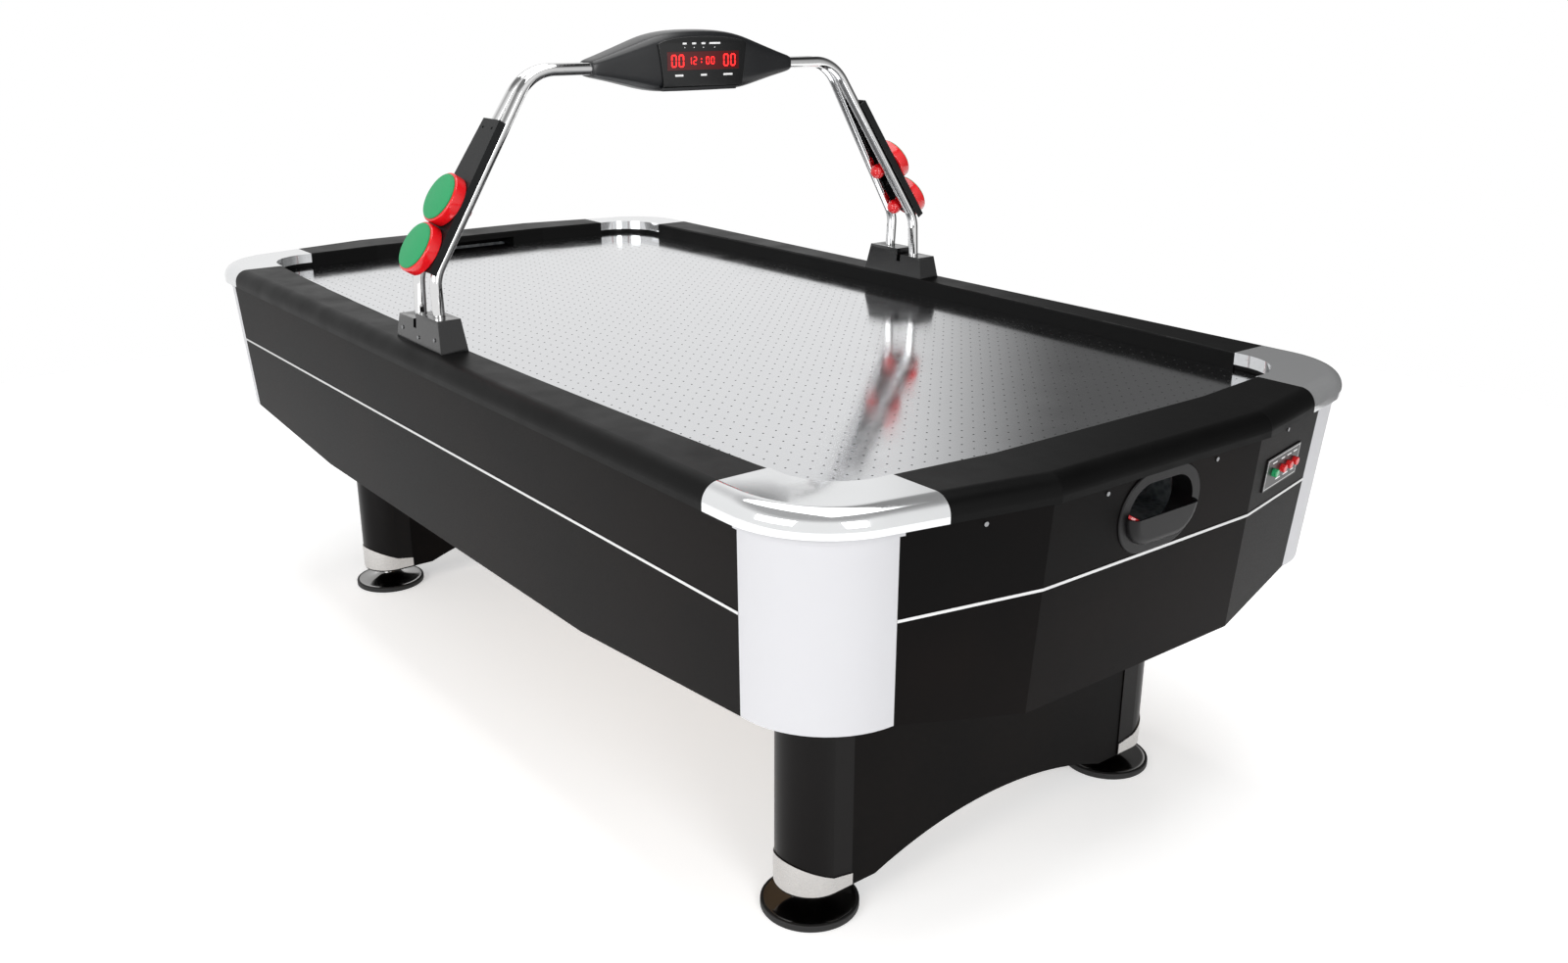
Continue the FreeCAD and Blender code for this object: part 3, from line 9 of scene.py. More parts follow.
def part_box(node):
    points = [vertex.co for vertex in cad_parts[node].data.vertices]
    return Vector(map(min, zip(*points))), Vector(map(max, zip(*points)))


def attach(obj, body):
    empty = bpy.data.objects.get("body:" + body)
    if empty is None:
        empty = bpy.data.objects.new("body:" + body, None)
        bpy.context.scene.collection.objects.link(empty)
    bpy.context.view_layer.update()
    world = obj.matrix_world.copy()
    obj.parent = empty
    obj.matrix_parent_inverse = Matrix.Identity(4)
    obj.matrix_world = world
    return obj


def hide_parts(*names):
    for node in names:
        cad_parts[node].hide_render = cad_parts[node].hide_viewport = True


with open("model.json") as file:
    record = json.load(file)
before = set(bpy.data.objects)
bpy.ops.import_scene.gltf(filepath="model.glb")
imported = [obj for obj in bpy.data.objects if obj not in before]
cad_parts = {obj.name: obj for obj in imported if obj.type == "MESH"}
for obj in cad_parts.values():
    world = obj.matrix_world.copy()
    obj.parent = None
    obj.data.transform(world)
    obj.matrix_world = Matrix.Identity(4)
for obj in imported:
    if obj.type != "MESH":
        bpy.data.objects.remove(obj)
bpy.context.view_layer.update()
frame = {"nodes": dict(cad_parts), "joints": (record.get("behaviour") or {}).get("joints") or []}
mm = 0.001

# ---------------------------------------------------------------- camera and studio
# A table this long is shown from a little above one corner, standing on a round, softly lit pale floor
# in soft light: a broad overhead bank, a bright wall to the left and a darker side to the right.
camera = bpy.data.objects.new("camera", bpy.data.cameras.new("camera"))
bpy.context.scene.collection.objects.link(camera)
camera.data.sensor_width = 36
camera.data.lens = 31.78
camera.data.clip_end = 60
heading, downward, roll = math.radians(51.76), math.radians(19.23), math.radians(0.18)
aim = (Matrix.Rotation(heading, 4, "Z") @ Matrix.Rotation(math.pi / 2 - downward, 4, "X")
       @ Matrix.Rotation(roll, 4, "Z"))
camera.matrix_world = Matrix.Translation((2.364, -1.622, 1.425)) @ aim
bpy.context.scene.camera = camera
bpy.context.scene.view_settings.view_transform = "Standard"


def linear(colour):
    """sRGB hex colour as the linear values that Blender wants."""
    parts = [int(colour[start:start + 2], 16) / 255 for start in (1, 3, 5)]
    return [p / 12.92 if p <= 0.04045 else ((p + 0.055) / 1.055) ** 2.4 for p in parts] + [1]


def add(tree, kind, settings=(), **inputs):
    """Adds a shader node: settings are its own properties, inputs are values or outputs to link."""
    made = tree.nodes.new(kind)
    for name, value in dict(settings).items():
        setattr(made, name, value)
    for name, value in inputs.items():
        key = int(name[1:]) if name[0] == "i" and name[1:].isdigit() else name.replace("_", " ")
        socket = made.inputs[key]
        if isinstance(value, bpy.types.NodeSocket):
            tree.links.new(value, socket)
        else:
            socket.default_value = value
    return made


def ramp(tree, factor, stops):
    made = add(tree, "ShaderNodeValToRGB", Fac=factor)
    points = made.color_ramp.elements
    for index, (place, colour) in enumerate(stops):
        point = points[index] if index < 2 else points.new(place)
        point.position = place
        point.color = linear(colour)
    return made.outputs["Color"]


world = bpy.data.worlds.new("studio")
bpy.context.scene.world = world
world.use_nodes = True
tree = world.node_tree
tree.nodes.clear()
direction = add(tree, "ShaderNodeTexCoord").outputs["Generated"]
parts = add(tree, "ShaderNodeSeparateXYZ", Vector=direction)
across = add(tree, "ShaderNodeMath", {"operation": "ARCTAN2"}, i0=parts.outputs["Y"], i1=parts.outputs["X"])
turned = add(tree, "ShaderNodeMapRange", {"interpolation_type": "SMOOTHSTEP"}, Value=across.outputs[0],
             From_Min=2.26, From_Max=2.42, To_Min=0.0, To_Max=1.0)
behind = add(tree, "ShaderNodeMapRange", {"interpolation_type": "SMOOTHSTEP"}, Value=across.outputs[0],
             From_Min=1.2, From_Max=0.2, To_Min=0.0, To_Max=1.0)
sides = add(tree, "ShaderNodeMath", {"operation": "MAXIMUM"}, i0=turned.outputs[0], i1=behind.outputs[0])
shade = add(tree, "ShaderNodeMapRange", Value=sides.outputs[0], To_Min=0.12, To_Max=0.95)
ceiling = add(tree, "ShaderNodeMapRange", {"interpolation_type": "SMOOTHSTEP"}, Value=parts.outputs["Z"],
              From_Min=0.5, From_Max=0.8, To_Min=1.0, To_Max=0.22)
room = add(tree, "ShaderNodeMath", {"operation": "MULTIPLY"}, i0=shade.outputs[0], i1=ceiling.outputs[0])
lamp = add(tree, "ShaderNodeBackground", Color=linear("#FFFFFF"), Strength=room.outputs[0])
plain = add(tree, "ShaderNodeBackground", Color=linear("#FFFFFF"), Strength=1.0)
seen = add(tree, "ShaderNodeLightPath").outputs["Is Camera Ray"]
both = add(tree, "ShaderNodeMixShader", Fac=seen, i1=lamp.outputs[0], i2=plain.outputs[0])
add(tree, "ShaderNodeOutputWorld", Surface=both.outputs[0])


def bank(name, place, towards, width, height, power):
    light = bpy.data.objects.new(name, bpy.data.lights.new(name, "AREA"))
    light.data.shape = "RECTANGLE"
    light.data.size = width
    light.data.size_y = height
    light.data.energy = power
    light.location = place
    light.rotation_euler = (Vector(towards) - Vector(place)).to_track_quat("-Z", "Y").to_euler()
    bpy.context.scene.collection.objects.link(light)


bank("overhead", (0.2, 0.0, 4.2), (0.2, 0, 0.8), 4.5, 2.6, 120)
bank("front_left", (1.2, -5.0, 2.6), (0.2, 0, 0.6), 3.2, 2.2, 110)
bank("front_right", (5.0, -1.2, 2.2), (0.9, -0.3, 0.6), 1.6, 2.4, 70)


def finish_mesh(name, bm, materials, body=None, smooth=None):
    """Turns a bmesh into an object of the scene that rides on a body."""
    mesh = bpy.data.meshes.new(name)
    bmesh.ops.recalc_face_normals(bm, faces=bm.faces)
    bm.to_mesh(mesh)
    bm.free()
    for material in materials:
        mesh.materials.append(material)
    if smooth is not None:
        mesh.shade_smooth()
        mesh.set_sharp_from_angle(angle=math.radians(smooth))
    made = bpy.data.objects.new(name, mesh)
    bpy.context.scene.collection.objects.link(made)
    if body:
        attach(made, body)
    return made


def surface(name, colour, metallic, roughness, **sockets):
    """A new finish; returns the material, its tree, its shader and the object coordinates."""
    made = bpy.data.materials.new(name)
    made.use_nodes = True
    shader = made.node_tree.nodes["Principled BSDF"]
    shader.inputs["Base Color"].default_value = linear(colour)
    shader.inputs["Metallic"].default_value = metallic
    shader.inputs["Roughness"].default_value = roughness
    for key, value in sockets.items():
        shader.inputs[key.replace("_", " ")].default_value = value
    place = add(made.node_tree, "ShaderNodeTexCoord").outputs["Object"]
    return made, made.node_tree, shader, place


def texture(made, size, roughness, bump=0.0, depth=0.0002, stretch=(1, 1, 1), detail=3):
    """Fine grain: uneven roughness, and relief of a real size in millimetres."""
    tree = made.node_tree
    shader = tree.nodes["Principled BSDF"]
    place = tree.nodes["Texture Coordinate"].outputs["Object"]
    spread = add(tree, "ShaderNodeMapping", Vector=place, Scale=stretch).outputs[0]
    noise = add(tree, "ShaderNodeTexNoise", Vector=spread, Scale=1000 / size, Detail=detail).outputs["Fac"]
    level = add(tree, "ShaderNodeMapRange", Value=noise, From_Min=0.3, From_Max=0.7,
                To_Min=roughness[0], To_Max=roughness[1])
    tree.links.new(level.outputs[0], shader.inputs["Roughness"])
    if bump:
        relief = add(tree, "ShaderNodeBump", Height=noise, Strength=bump, Distance=depth)
        tree.links.new(relief.outputs[0], shader.inputs["Normal"])
    return noise


def tinted(made, size, first, second):
    """Slow colour drift between two shades, over patches of a real size in millimetres."""
    tree = made.node_tree
    place = tree.nodes["Texture Coordinate"].outputs["Object"]
    noise = add(tree, "ShaderNodeTexNoise", Vector=place, Scale=1000 / size, Detail=4).outputs["Fac"]
    colour = ramp(tree, noise, [(0.35, first), (0.65, second)])
    tree.links.new(colour, tree.nodes["Principled BSDF"].inputs["Base Color"])


floor_paint, *_ = surface("matt_studio_paper", "#F6F6F6", 0, 0.9, Specular_IOR_Level=0.1,
                         Emission_Color=linear("#FFFFFF"), Emission_Strength=0.42)
texture(floor_paint, 4, (0.85, 0.95))
FLOOR_RADIUS = 3.7
sheet = bmesh.new()
bmesh.ops.create_circle(sheet, cap_ends=True, segments=128, radius=FLOOR_RADIUS)
floor = finish_mesh("studio_floor", sheet, [floor_paint])

# ---------------------------------------------------------------- walls and pedestals
# 18 mm board faced with satin black laminate. The press plate leaves a very fine orange peel,
# and the black is a warm one that drifts slightly over a hand's breadth.
black_laminate, *_ = surface("black_laminate", "#060404", 0, 0.42, Specular_IOR_Level=0.05)
texture(black_laminate, 1.6, (0.36, 0.46), 0.12, 0.0001)
tinted(black_laminate, 260, "#040303", "#0A0605")


def dress(names, made):
    for name in names:
        mesh = frame["nodes"][name].data
        mesh.materials.clear()
        mesh.materials.append(made)


WALLS = ["front_side_panel", "rear_side_panel", "control_end_panel", "control_end_side_boards",
         "plain_end_panel", "plain_end_side_boards"]
dress(WALLS, black_laminate)


def eased_copy(node, made, body, edge, angle=30, segments=2):
    """Merged copy of a CAD node with its sharp edges eased by a small bevel; stands for the node."""
    bm = bmesh.new()
    bm.from_mesh(frame["nodes"][node].data)
    bmesh.ops.remove_doubles(bm, verts=bm.verts, dist=0.00002)
    mesh = bpy.data.meshes.new(f"{node}_eased")
    bm.to_mesh(mesh)
    bm.free()
    mesh.materials.append(made)
    mesh.shade_smooth()
    mesh.set_sharp_from_angle(angle=math.radians(angle))
    copy = bpy.data.objects.new(f"{node}_eased", mesh)
    bpy.context.scene.collection.objects.link(copy)
    ease = copy.modifiers.new("eased_edges", "BEVEL")
    ease.width = edge
    ease.segments = segments
    ease.limit_method = "ANGLE"
    ease.angle_limit = math.radians(angle)
    ease.harden_normals = True
    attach(copy, body)
    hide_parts(node)
    return copy


pedestal_black, *_ = surface("pedestal_black_laminate", "#050404", 0, 0.42, Specular_IOR_Level=0.06)
texture(pedestal_black, 1.6, (0.38, 0.5), 0.12, 0.0001)
tinted(pedestal_black, 200, "#040303", "#090605")
dress(["control_pedestal", "plain_pedestal"], pedestal_black)
cover_black, *_ = surface("column_cover_black", "#060404", 0, 0.33, Specular_IOR_Level=0.14)
texture(cover_black, 2.2, (0.28, 0.36), 0.1, 0.0001)
dress(["column_covers"], cover_black)

# ---------------------------------------------------------------- bright strips and corner panels
# Anodised aluminium. The strips are rolled and polished; the corner panels are brushed up and down,
# then bead-blasted and anodised a pale silver that looks almost white in soft light.
strip_silver, *_ = surface("rolled_aluminium_strip", "#D6D6D6", 1, 0.3)
texture(strip_silver, 1.2, (0.25, 0.36), stretch=(0.05, 0.05, 1))
dress(["trim_strips"], strip_silver)
panel_silver, tree, shader, place = surface("pale_anodised_aluminium", "#BDBDC0", 0.15, 0.42)
texture(panel_silver, 0.9, (0.38, 0.5), 0.08, 0.0001, stretch=(1, 1, 0.03))
dress(["corner_panels"], panel_silver)

# ---------------------------------------------------------------- rails
# Board wrapped in black vinyl: satin, with a very fine leather-like press grain on top.
rail_vinyl, tree, shader, place = surface("black_rail_vinyl", "#050505", 0, 0.42, Specular_IOR_Level=0.1)
cells = add(tree, "ShaderNodeTexVoronoi", {"feature": "SMOOTH_F1"}, Vector=place, Scale=620.0).outputs["Distance"]
relief = add(tree, "ShaderNodeBump", Height=cells, Strength=0.16, Distance=0.0002)
tree.links.new(relief.outputs[0], shader.inputs["Normal"])
wear = add(tree, "ShaderNodeTexNoise", Vector=place, Scale=14.0, Detail=5.0).outputs["Fac"]
level = add(tree, "ShaderNodeMapRange", Value=wear, From_Min=0.3, From_Max=0.7, To_Min=0.38, To_Max=0.48)
tree.links.new(level.outputs[0], shader.inputs["Roughness"])
dress(["front_long_rail", "rear_long_rail", "control_end_rail", "plain_end_rail", "corner_blocks"], rail_vinyl)

# ---------------------------------------------------------------- corner caps
# Die-cast zinc, polished and chrome plated; slight ripples are left from the polishing wheel.
chrome, tree, shader, place = surface("bright_chrome_plate", "#DDDEDF", 0.78, 0.07)
texture(chrome, 60, (0.05, 0.1), 0.1, 0.0006, detail=1)
CORNERS = [f"{side}_{end}" for side in ("front", "rear") for end in ("control", "plain")]
dress([f"corner_cap_{corner}" for corner in CORNERS], chrome)

# ---------------------------------------------------------------- playing surface
# Board faced with polished, lacquered aluminium laminate: it mirrors softly. Air comes out of
# 1 mm holes on a 25.4 mm grid. Each is drawn as a pale countersunk rim, partly the board's core and
# partly a painted highlight, round a dark disc of painted shade that stands in for the open hole.
field_face, tree, shader, place = surface("polished_aluminium_laminate", "#D6D7D9", 1, 0.12)
texture(field_face, 90, (0.09, 0.14), 0.03, 0.0005, detail=2)
dress(["playfield"], field_face)
# Pale ring: the board's core opened by the countersink, whitened further as a painted highlight of its bevel.
rim_core_and_painted_highlight, *_ = surface("countersunk_rim_core_and_painted_highlight", "#F4F5F6", 0, 0.6)
texture(rim_core_and_painted_highlight, 0.5, (0.5, 0.7))
# Dark disc: painted shade laid flat where the open hole is.
hole_painted_shade, *_ = surface("air_hole_painted_shade", "#1A1A1A", 0, 0.9)
texture(hole_painted_shade, 0.5, (0.8, 1.0))
low, high = (Vector(corner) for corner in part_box("playfield"))
pitch = 25.4 * mm
dots = bmesh.new()
count_x, count_y = int((high.x - 0.03) / pitch), int((high.y - 0.025) / pitch)
rail_in = 533 * mm
for column in range(-count_x, count_x + 1):
    for row in range(-count_y, count_y + 1):
        x, y = column * pitch, row * pitch
        bow = (557 - 24 * (x / 0.948) ** 2) * mm if abs(x) < 0.948 else rail_in
        corner_in = Vector((max(abs(x) - 0.97, 0), max(abs(y) - 0.433, 0))).length
        end_in = 1.088 - max(abs(y) - 0.241, 0) * 0.1
        if abs(y) > bow - 0.012 or corner_in > 0.088 or abs(x) > end_in - 0.014:
            continue
        spot = Matrix.Translation((x, y, high.z + 0.00012))
        ring = bmesh.ops.create_circle(dots, cap_ends=True, segments=8, radius=1.7 * mm, matrix=spot)
        face = ring["verts"][0].link_faces[0]
        bmesh.ops.inset_region(dots, faces=[face], thickness=1.1 * mm)
        # the inner disc carries the painted shade of the hole
        face.material_index = 1
finish_mesh("air_holes", dots, [rim_core_and_painted_highlight, hole_painted_shade], "table")

# ---------------------------------------------------------------- goal chutes and boards inside
# Galvanised sheet chutes and plain fibreboard, hidden in use but seen through the slots.
zinc, tree, shader, place = surface("galvanised_sheet", "#9EA3A6", 1, 0.45)
spangle = add(tree, "ShaderNodeTexVoronoi", Vector=place, Scale=90.0)
tone = ramp(tree, spangle.outputs["Distance"], [(0.1, "#8B9093"), (0.7, "#B4B8BA")])
tree.links.new(tone, shader.inputs["Base Color"])
dress(["goal_chutes", "blower_motor"], zinc)
board_brown, *_ = surface("fibreboard", "#6F5A42", 0, 0.8)
texture(board_brown, 2, (0.7, 0.9), 0.2, 0.0003)
tinted(board_brown, 8, "#67533D", "#7C6549")
dress(["bottom_board", "air_chamber"], board_brown)

# ---------------------------------------------------------------- puck pockets
# Injection-moulded black ABS cups: a fine spark-eroded grain that takes a soft sheen.
pocket_abs, *_ = surface("moulded_black_abs", "#0A090A", 0, 0.34, Specular_IOR_Level=0.22)
texture(pocket_abs, 0.8, (0.3, 0.42), 0.1, 0.0001)
dress(["control_pocket_cup", "plain_pocket_cup", "blower_housing", "blower_impeller", "power_inlet"], pocket_abs)

# ---------------------------------------------------------------- puck and mallets
# Mallets and puck are turned from red polycarbonate and polished: deep red with a clear gloss.
# Each mallet has a rim, a dished back and a ball knob on a waisted neck.
mallet_red, *_ = surface("polished_red_plastic", "#D3121A", 0, 0.16, Coat_Weight=0.4, Coat_Roughness=0.06,
                         Subsurface_Weight=0.05, Subsurface_Radius=(0.02, 0.004, 0.004))
texture(mallet_red, 12, (0.12, 0.22), 0.04, 0.0002)
dress(["puck"], mallet_red)


def turned_piece(profile, steps=64):
    """Solid of revolution about Z from (radius, height) points in metres, by bmesh spin."""
    bm = bmesh.new()
    verts = [bm.verts.new((radius, 0, height)) for radius, height in profile]
    edges = [bm.edges.new(pair) for pair in zip(verts, verts[1:])]
    bmesh.ops.spin(bm, geom=verts + edges, axis=(0, 0, 1), cent=(0, 0, 0), angle=math.tau,
                   steps=steps, use_merge=True, use_duplicate=False)
    bmesh.ops.remove_doubles(bm, verts=bm.verts, dist=0.00001)
    bmesh.ops.dissolve_degenerate(bm, dist=0.000001, edges=bm.edges)
    return bm


def arc_points(centre, radius, first, last, count):
    """Points on an arc in the profile plane, angles in degrees from the radius axis."""
    step = (last - first) / count
    turns = [math.radians(first + step * index) for index in range(count + 1)]
    return [(centre[0] + radius * math.cos(t), centre[1] + radius * math.sin(t)) for t in turns]


joints = {joint["name"]: joint for joint in frame["joints"]}
crown, seat = -1.5 * mm, -24.5 * mm
ball_centre, ball = -54.1 * mm, 16 * mm
mallet_profile = (
    arc_points((0, ball_centre), ball, -90, 55, 14)
    + arc_points((15.5 * mm, -32 * mm), 6.5 * mm, 160, 235, 4)
    + [(17 * mm, seat + 3.2 * mm), (34 * mm, seat + 2.6 * mm), (39 * mm, seat + 0.6 * mm)]
    + arc_points((46 * mm, seat + 3 * mm), 3 * mm, -90, 0, 5)
    + arc_points((46.5 * mm, crown - 2.5 * mm), 2.5 * mm, 0, 90, 4)
    + [(0, crown)]
)
felt_green, tree, shader, place = surface("green_wool_felt", "#14935A", 0, 0.95, Sheen_Weight=0.08,
                                          Sheen_Roughness=0.5)
fibres = add(tree, "ShaderNodeTexNoise", Vector=place, Scale=900.0, Detail=8.0, Roughness=0.75).outputs["Fac"]
tone = ramp(tree, fibres, [(0.3, "#08733F"), (0.7, "#1B9C62")])
tree.links.new(tone, shader.inputs["Base Color"])
relief = add(tree, "ShaderNodeBump", Height=fibres, Strength=0.7, Distance=0.0008)
tree.links.new(relief.outputs[0], shader.inputs["Normal"])
felt_profile = ([(0, crown), (44.5 * mm, crown)] + arc_points((44 * mm, 0.6 * mm), 0.9 * mm, 0, 90, 3)
                + [(0, 1.5 * mm)])

for side in ("front", "rear"):
    for level in ("low", "high"):
        felt = f"mallet_felt_{side}_{level}"
        low, high = (Vector(corner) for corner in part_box(felt))
        axis = Vector(joints[f"lift_{side}_mallet_{level}"]["axis"]).normalized()
        stand = Matrix.Translation((low + high) / 2) @ axis.to_track_quat("Z", "X").to_matrix().to_4x4()
        bm = turned_piece(mallet_profile)
        bmesh.ops.transform(bm, matrix=stand, verts=bm.verts)
        piece = finish_mesh(f"red_mallet_{side}_{level}", bm, [mallet_red], f"{side}_mallet_{level}",
                            40)
        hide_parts(f"mallet_{side}_{level}")
        bm = turned_piece(felt_profile)
        bmesh.ops.transform(bm, matrix=stand, verts=bm.verts)
        piece = finish_mesh(f"felt_pad_{side}_{level}", bm, [felt_green], f"{side}_mallet_{level}",
                            40)
        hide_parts(felt)

# ---------------------------------------------------------------- leg bands and levelling feet
# Bands are rolled stainless strip. Each foot is a spun steel trumpet, black-chromed, on a rubber ring.
band_steel, *_ = surface("rolled_stainless_band", "#C9C7C5", 1, 0.28)
texture(band_steel, 0.8, (0.22, 0.34), 0.05, 0.0001, stretch=(0.05, 0.05, 1))
dress(["leg_bands"], band_steel)
foot_chrome, *_ = surface("black_chrome_plate", "#8C8B8A", 1, 0.12)
texture(foot_chrome, 30, (0.08, 0.16), 0.06, 0.0004)
foot_rubber, *_ = surface("black_foot_rubber", "#0B0B0B", 0, 0.6)
texture(foot_rubber, 0.7, (0.5, 0.7), 0.2, 0.0001)
for corner in CORNERS:
    node = f"leveller_{corner}"
    low, high = (Vector(edge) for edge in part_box(node))
    wide = (high.x - low.x) / 2
    middle = Matrix.Translation(((low.x + high.x) / 2, (low.y + high.y) / 2, 0))
    ring = ([(wide - 9 * mm, 0.2 * mm)] + arc_points((wide - 2 * mm, 2 * mm), 2 * mm, -90, 0, 4)
            + arc_points((wide - 2.5 * mm, 10 * mm), 2.5 * mm, 0, 90, 4) + [(wide - 9 * mm, 12.5 * mm)])
    bm = turned_piece(ring + [ring[0]], 96)
    bmesh.ops.transform(bm, matrix=middle, verts=bm.verts)
    piece = finish_mesh(f"foot_ring_{corner}", bm, [foot_rubber], f"foot_{corner}", 40)
    neck = 22 * mm
    slope = [(neck + (wide - 6 * mm - neck) * (1 - math.cos(t / 14 * math.pi / 2)) ** 1.15,
              12.5 * mm + (1 - math.sin(t / 14 * math.pi / 2)) ** 1.15 * 31 * mm) for t in range(14, -1, -1)]
    cone = ([(0, 6 * mm), (wide - 6.5 * mm, 6 * mm), (wide - 5.5 * mm, 11 * mm), (wide - 5.8 * mm, 12.6 * mm)]
            + slope + [(neck, 47.5 * mm), (12 * mm, 47.8 * mm), (8 * mm, 47.8 * mm), (8 * mm, 106 * mm), (0, 106 * mm)])
    bm = turned_piece(cone, 96)
    bmesh.ops.transform(bm, matrix=middle, verts=bm.verts)
    piece = finish_mesh(f"foot_trumpet_{corner}", bm, [foot_chrome], f"foot_{corner}", 35)
    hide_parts(node)

# ---------------------------------------------------------------- posts, their bases and mallet holders
# Chromed steel tube bent cold, standing in glossy black moulded sockets; the holders are folded
# sheet with a fine black powder coat.
tube_chrome, *_ = surface("chromed_tube", "#E4E4E4", 1, 0.06)
texture(tube_chrome, 40, (0.04, 0.09), 0.05, 0.0004, detail=1)
dress(["front_post_tubes", "rear_post_tubes"], tube_chrome)
base_gloss, *_ = surface("glossy_black_moulding", "#0A0A0B", 0, 0.2, Coat_Weight=0.3, Coat_Roughness=0.1)
texture(base_gloss, 5, (0.16, 0.26), 0.06, 0.0002)
powder, *_ = surface("black_powder_coat", "#0E0F10", 0, 0.45, Specular_IOR_Level=0.25)
texture(powder, 0.9, (0.38, 0.52), 0.25, 0.0002)
for side in ("front", "rear"):
    eased_copy(f"{side}_post_base", base_gloss, "table", 3 * mm, 35, 3)
dress(["front_mallet_holder", "rear_mallet_holder"], powder)

# ---------------------------------------------------------------- scoring unit
# A two-part ABS housing with drawn-in ends. Each face has a raised panel with a dark red filter
# window; red light-bar digits glow behind it, with plain printed bars for legends. The window's own
# faint red emission is a painted glow standing in for the digits' light coming through it.
shell_abs, *_ = surface("scorer_black_abs", "#141517", 0, 0.3)
texture(shell_abs, 0.9, (0.26, 0.36), 0.12, 0.0001)
stations = [(0, 1369, 1252, 47), (55, 1367.5, 1252, 47), (98, 1360, 1253.5, 46), (128, 1350, 1260, 43),
            (160, 1339, 1268, 38.5), (190, 1329, 1275, 34.5), (214, 1321, 1280, 31.5), (230, 1316.5, 1283.5, 29),
            (235.5, 1313.5, 1286.5, 26.5)]
rows = [(-y, *rest) for y, *rest in reversed(stations[1:])] + stations
hull = bmesh.new()
rings = []
for y, top, bottom, deep in rows:
    middle, tall = (top + bottom) / 2, (top - bottom) / 2
    ring = []
    for index in range(24):
        angle = math.tau * index / 24
        c, s = math.cos(angle), math.sin(angle)
        power = 0.42
        x = math.copysign(abs(c) ** power, c) * deep
        z = math.copysign(abs(s) ** 0.55, s) * tall + middle
        ring.append(hull.verts.new((x * mm, y * mm, z * mm)))
    rings.append(ring)
for first, second in zip(rings, rings[1:]):
    for index in range(24):
        hull.faces.new((first[index], first[(index + 1) % 24], second[(index + 1) % 24], second[index]))
for ring in (rings[0], rings[-1]):
    hull.faces.new(ring)
bmesh.ops.inset_region(hull, faces=[f for f in hull.faces if len(f.verts) == 24], thickness=1.5 * mm)
housing = finish_mesh("scorer_housing", hull, [shell_abs], "table", 60)
housing.modifiers.new("rounded", "SUBSURF").levels = 2
housing.modifiers["rounded"].render_levels = 2
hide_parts("scorer_shells", "scorer_end_caps")

panel_gloss, *_ = surface("scorer_face_gloss", "#08090A", 0, 0.16)
texture(panel_gloss, 6, (0.12, 0.2), 0.03, 0.0002)
# The filter is no lamp: its faint red emission is a painted glow for the light of the digits behind it.
filter_red_painted_glow, tree, shader, place = surface("dark_red_filter_painted_glow", "#1B0305", 0, 0.08,
                                          Emission_Color=linear("#7A0A0C"), Emission_Strength=0.35)
texture(filter_red_painted_glow, 20, (0.05, 0.12))
digit_red, *_ = surface("glowing_red_segment", "#FF2020", 0, 0.4, Emission_Color=linear("#FF1A1A"),
                        Emission_Strength=4.5)
texture(digit_red, 2, (0.35, 0.45))
seam_dark, *_ = surface("joint_shadow", "#030303", 0, 0.7)
texture(seam_dark, 1, (0.6, 0.8))
print_white, *_ = surface("white_printing", "#E8E8E8", 0, 0.5)
texture(print_white, 0.6, (0.45, 0.6))


def plate(bm, corners, level, thick, round_by=0.0):
    """Flat plate in the YZ plane: its back at level, corners as (y, z) in millimetres."""
    verts = [bm.verts.new((level * mm, y * mm, z * mm)) for y, z in corners]
    face = bm.faces.new(verts)
    bm.normal_update()
    if face.normal.x < 0:
        face.normal_flip()
    made = bmesh.ops.extrude_face_region(bm, geom=[face])
    new = [item for item in made["geom"] if isinstance(item, bmesh.types.BMVert)]
    bmesh.ops.translate(bm, verts=new, vec=(thick * mm, 0, 0))
    if round_by:
        edges = [edge for edge in {e for v in new for e in v.link_edges}
                 if all(abs(v.co.x - (level + thick) * mm) < 1e-6 for v in edge.verts)]
        bmesh.ops.bevel(bm, geom=edges, offset=round_by * mm, segments=2, profile=0.5, affect="EDGES", material=-1)


def rect(y, z, width, height):
    return [(y - width / 2, z - height / 2), (y + width / 2, z - height / 2),
            (y + width / 2, z + height / 2), (y - width / 2, z + height / 2)]


def both_faces(name, build, materials, smooth=30):
    """The unit reads the same from both ends of the table, so each face piece is made twice."""
    made = []
    for way, turn in (("control", 0.0), ("plain", math.pi)):
        bm = bmesh.new()
        build(bm)
        bmesh.ops.rotate(bm, verts=bm.verts, cent=(0, 0, 0), matrix=Matrix.Rotation(turn, 3, "Z"))
        made.append(finish_mesh(f"{name}_{way}", bm, materials, "table", smooth))
    return made


arch_top = [(104 * math.cos(math.radians(a)), 1341 + 15 * math.sin(math.radians(a))) for a in range(0, 181, 12)]
both_faces("scorer_panel", lambda bm: plate(bm, [(-93, 1263), (93, 1263)] + arch_top, 43.0, 5.2, 1.2),
           [panel_gloss])
both_faces("scorer_ledge", lambda bm: plate(bm, [(-95, 1255.5), (78, 1255.5), (78, 1259.5), (95, 1262), (-95, 1262)],
                                            38.0, 10.0, 1.0), [shell_abs])
windows = both_faces("scorer_filter", lambda bm: plate(bm, rect(0, 1311, 170, 34), 47.5, 1.4, 0.5),
                     [filter_red_painted_glow])
for window in windows[:1]:
    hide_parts("scorer_windows", "scorer_board")

SEGMENTS = {"0": "abcdef", "1": "bc", "2": "abged"}


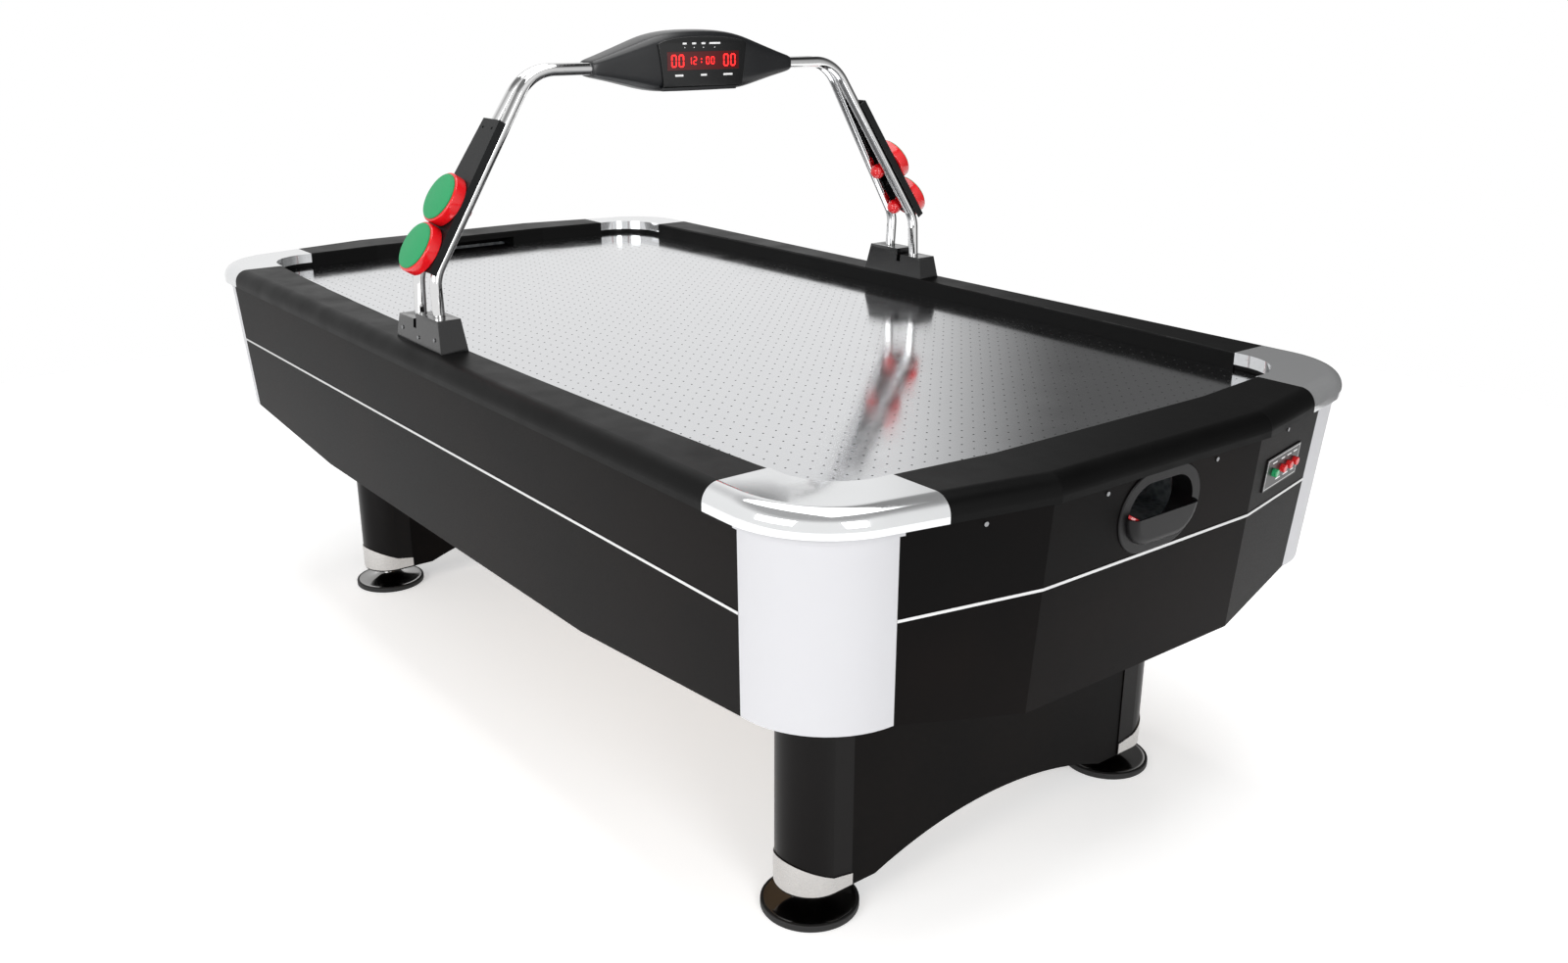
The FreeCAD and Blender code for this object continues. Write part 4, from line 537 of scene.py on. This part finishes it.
def digit(bm, character, y, z, width, height):
    """Seven-bar digit; every bar is a small raised strip. Y runs to the reader's right."""
    thick = height * 0.1
    half = height / 2
    bars = {"a": rect(y, z + half, width - thick, thick), "g": rect(y, z, width - thick, thick),
            "d": rect(y, z - half, width - thick, thick), "b": rect(y + width / 2, z + half / 2, thick, half - thick),
            "c": rect(y + width / 2, z - half / 2, thick, half - thick),
            "f": rect(y - width / 2, z + half / 2, thick, half - thick),
            "e": rect(y - width / 2, z - half / 2, thick, half - thick)}
    for bar in SEGMENTS[character]:
        plate(bm, bars[bar], 48.95, 0.25)


def score_line(bm):
    for y in (-70, -53, 53, 70):
        digit(bm, "0", y, 1311, 10, 21)
    for character, y in zip("1200", (-33, -21, 9, 21)):
        digit(bm, character, y, 1311, 6.5, 13)
    for z in (1308, 1314):
        plate(bm, rect(-6, z, 2, 2), 48.95, 0.25)


both_faces("score_digits", score_line, [digit_red], None)


def legends(bm):
    for y, width in ((-44, 9), (-22, 9), (0, 9), (27, 26)):
        plate(bm, rect(y, 1343, width, 3.4), 48.2, 0.25)
    for y in (-44, -22, 0, 27):
        plate(bm, rect(y, 1335.5, 1.6, 1.6), 48.2, 0.25)
    for y, width in ((-58, 19), (0, 14), (58, 22)):
        plate(bm, rect(y, 1284, width, 3.6), 48.2, 0.25)


both_faces("score_legends", legends, [print_white], None)

# ---------------------------------------------------------------- control plate and buttons
# A folded black plate with a thin white border and plain bars where the legends go;
# the four buttons are domed caps, one green and three red.
plate_black, *_ = surface("control_plate_black", "#0D0D0E", 0, 0.35)
texture(plate_black, 0.9, (0.3, 0.4), 0.1, 0.0001)
dress(["control_plate"], plate_black)
cap_green, *_ = surface("green_button_cap", "#1C8F57", 0, 0.25, Coat_Weight=0.3)
texture(cap_green, 3, (0.2, 0.3))
cap_red, *_ = surface("red_button_cap", "#C4161A", 0, 0.25, Coat_Weight=0.3)
texture(cap_red, 3, (0.2, 0.3))
dress(["button_power"], cap_green)
dress(["button_time", "button_points", "button_reset"], cap_red)
out = Vector(joints["press_power"]["axis"]).normalized()
along = Vector((-out.y, out.x, 0)).normalized()
up = out.cross(along)


def box_middle(node):
    low, high = (Vector(corner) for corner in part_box(node))
    return (low + high) / 2


plate_middle = box_middle("control_plate")
plate_thickness, ink_lift = 2.5 * mm, 0.02 * mm
face_level = plate_thickness / 2 + ink_lift
turn = Matrix((along, up, out)).transposed().to_4x4()
ink = bmesh.new()


def ink_bar(x, y, width, height):
    made = bmesh.ops.create_cube(ink, size=1)
    bmesh.ops.scale(ink, verts=made["verts"], vec=(width * mm, height * mm, 0.2 * mm))
    bmesh.ops.translate(ink, verts=made["verts"], vec=(x * mm, y * mm, face_level))


for x, y, width, height in ((0, -25, 132, 0.9), (0, 25, 132, 0.9), (-65.5, 0, 0.9, 50), (65.5, 0, 0.9, 50)):
    ink_bar(x, y, width, height)
for x, width in ((-37, 18), (-4, 14), (22, 18), (48, 16)):
    ink_bar(x, 17, width, 2.2)
for x, width in ((-12, 20), (20, 22), (48, 12)):
    ink_bar(x, -16, width, 2.0)
bmesh.ops.transform(ink, matrix=Matrix.Translation(plate_middle) @ turn, verts=ink.verts)
finish_mesh("control_legends", ink, [print_white], "table")

# ---------------------------------------------------------------- screws
# Zinc-plated round heads, in the walls and the post bases.
screw_zinc, *_ = surface("zinc_plated_screw", "#8D8E90", 1, 0.32)
texture(screw_zinc, 1, (0.2, 0.32))
dress(["screws"], screw_zinc)
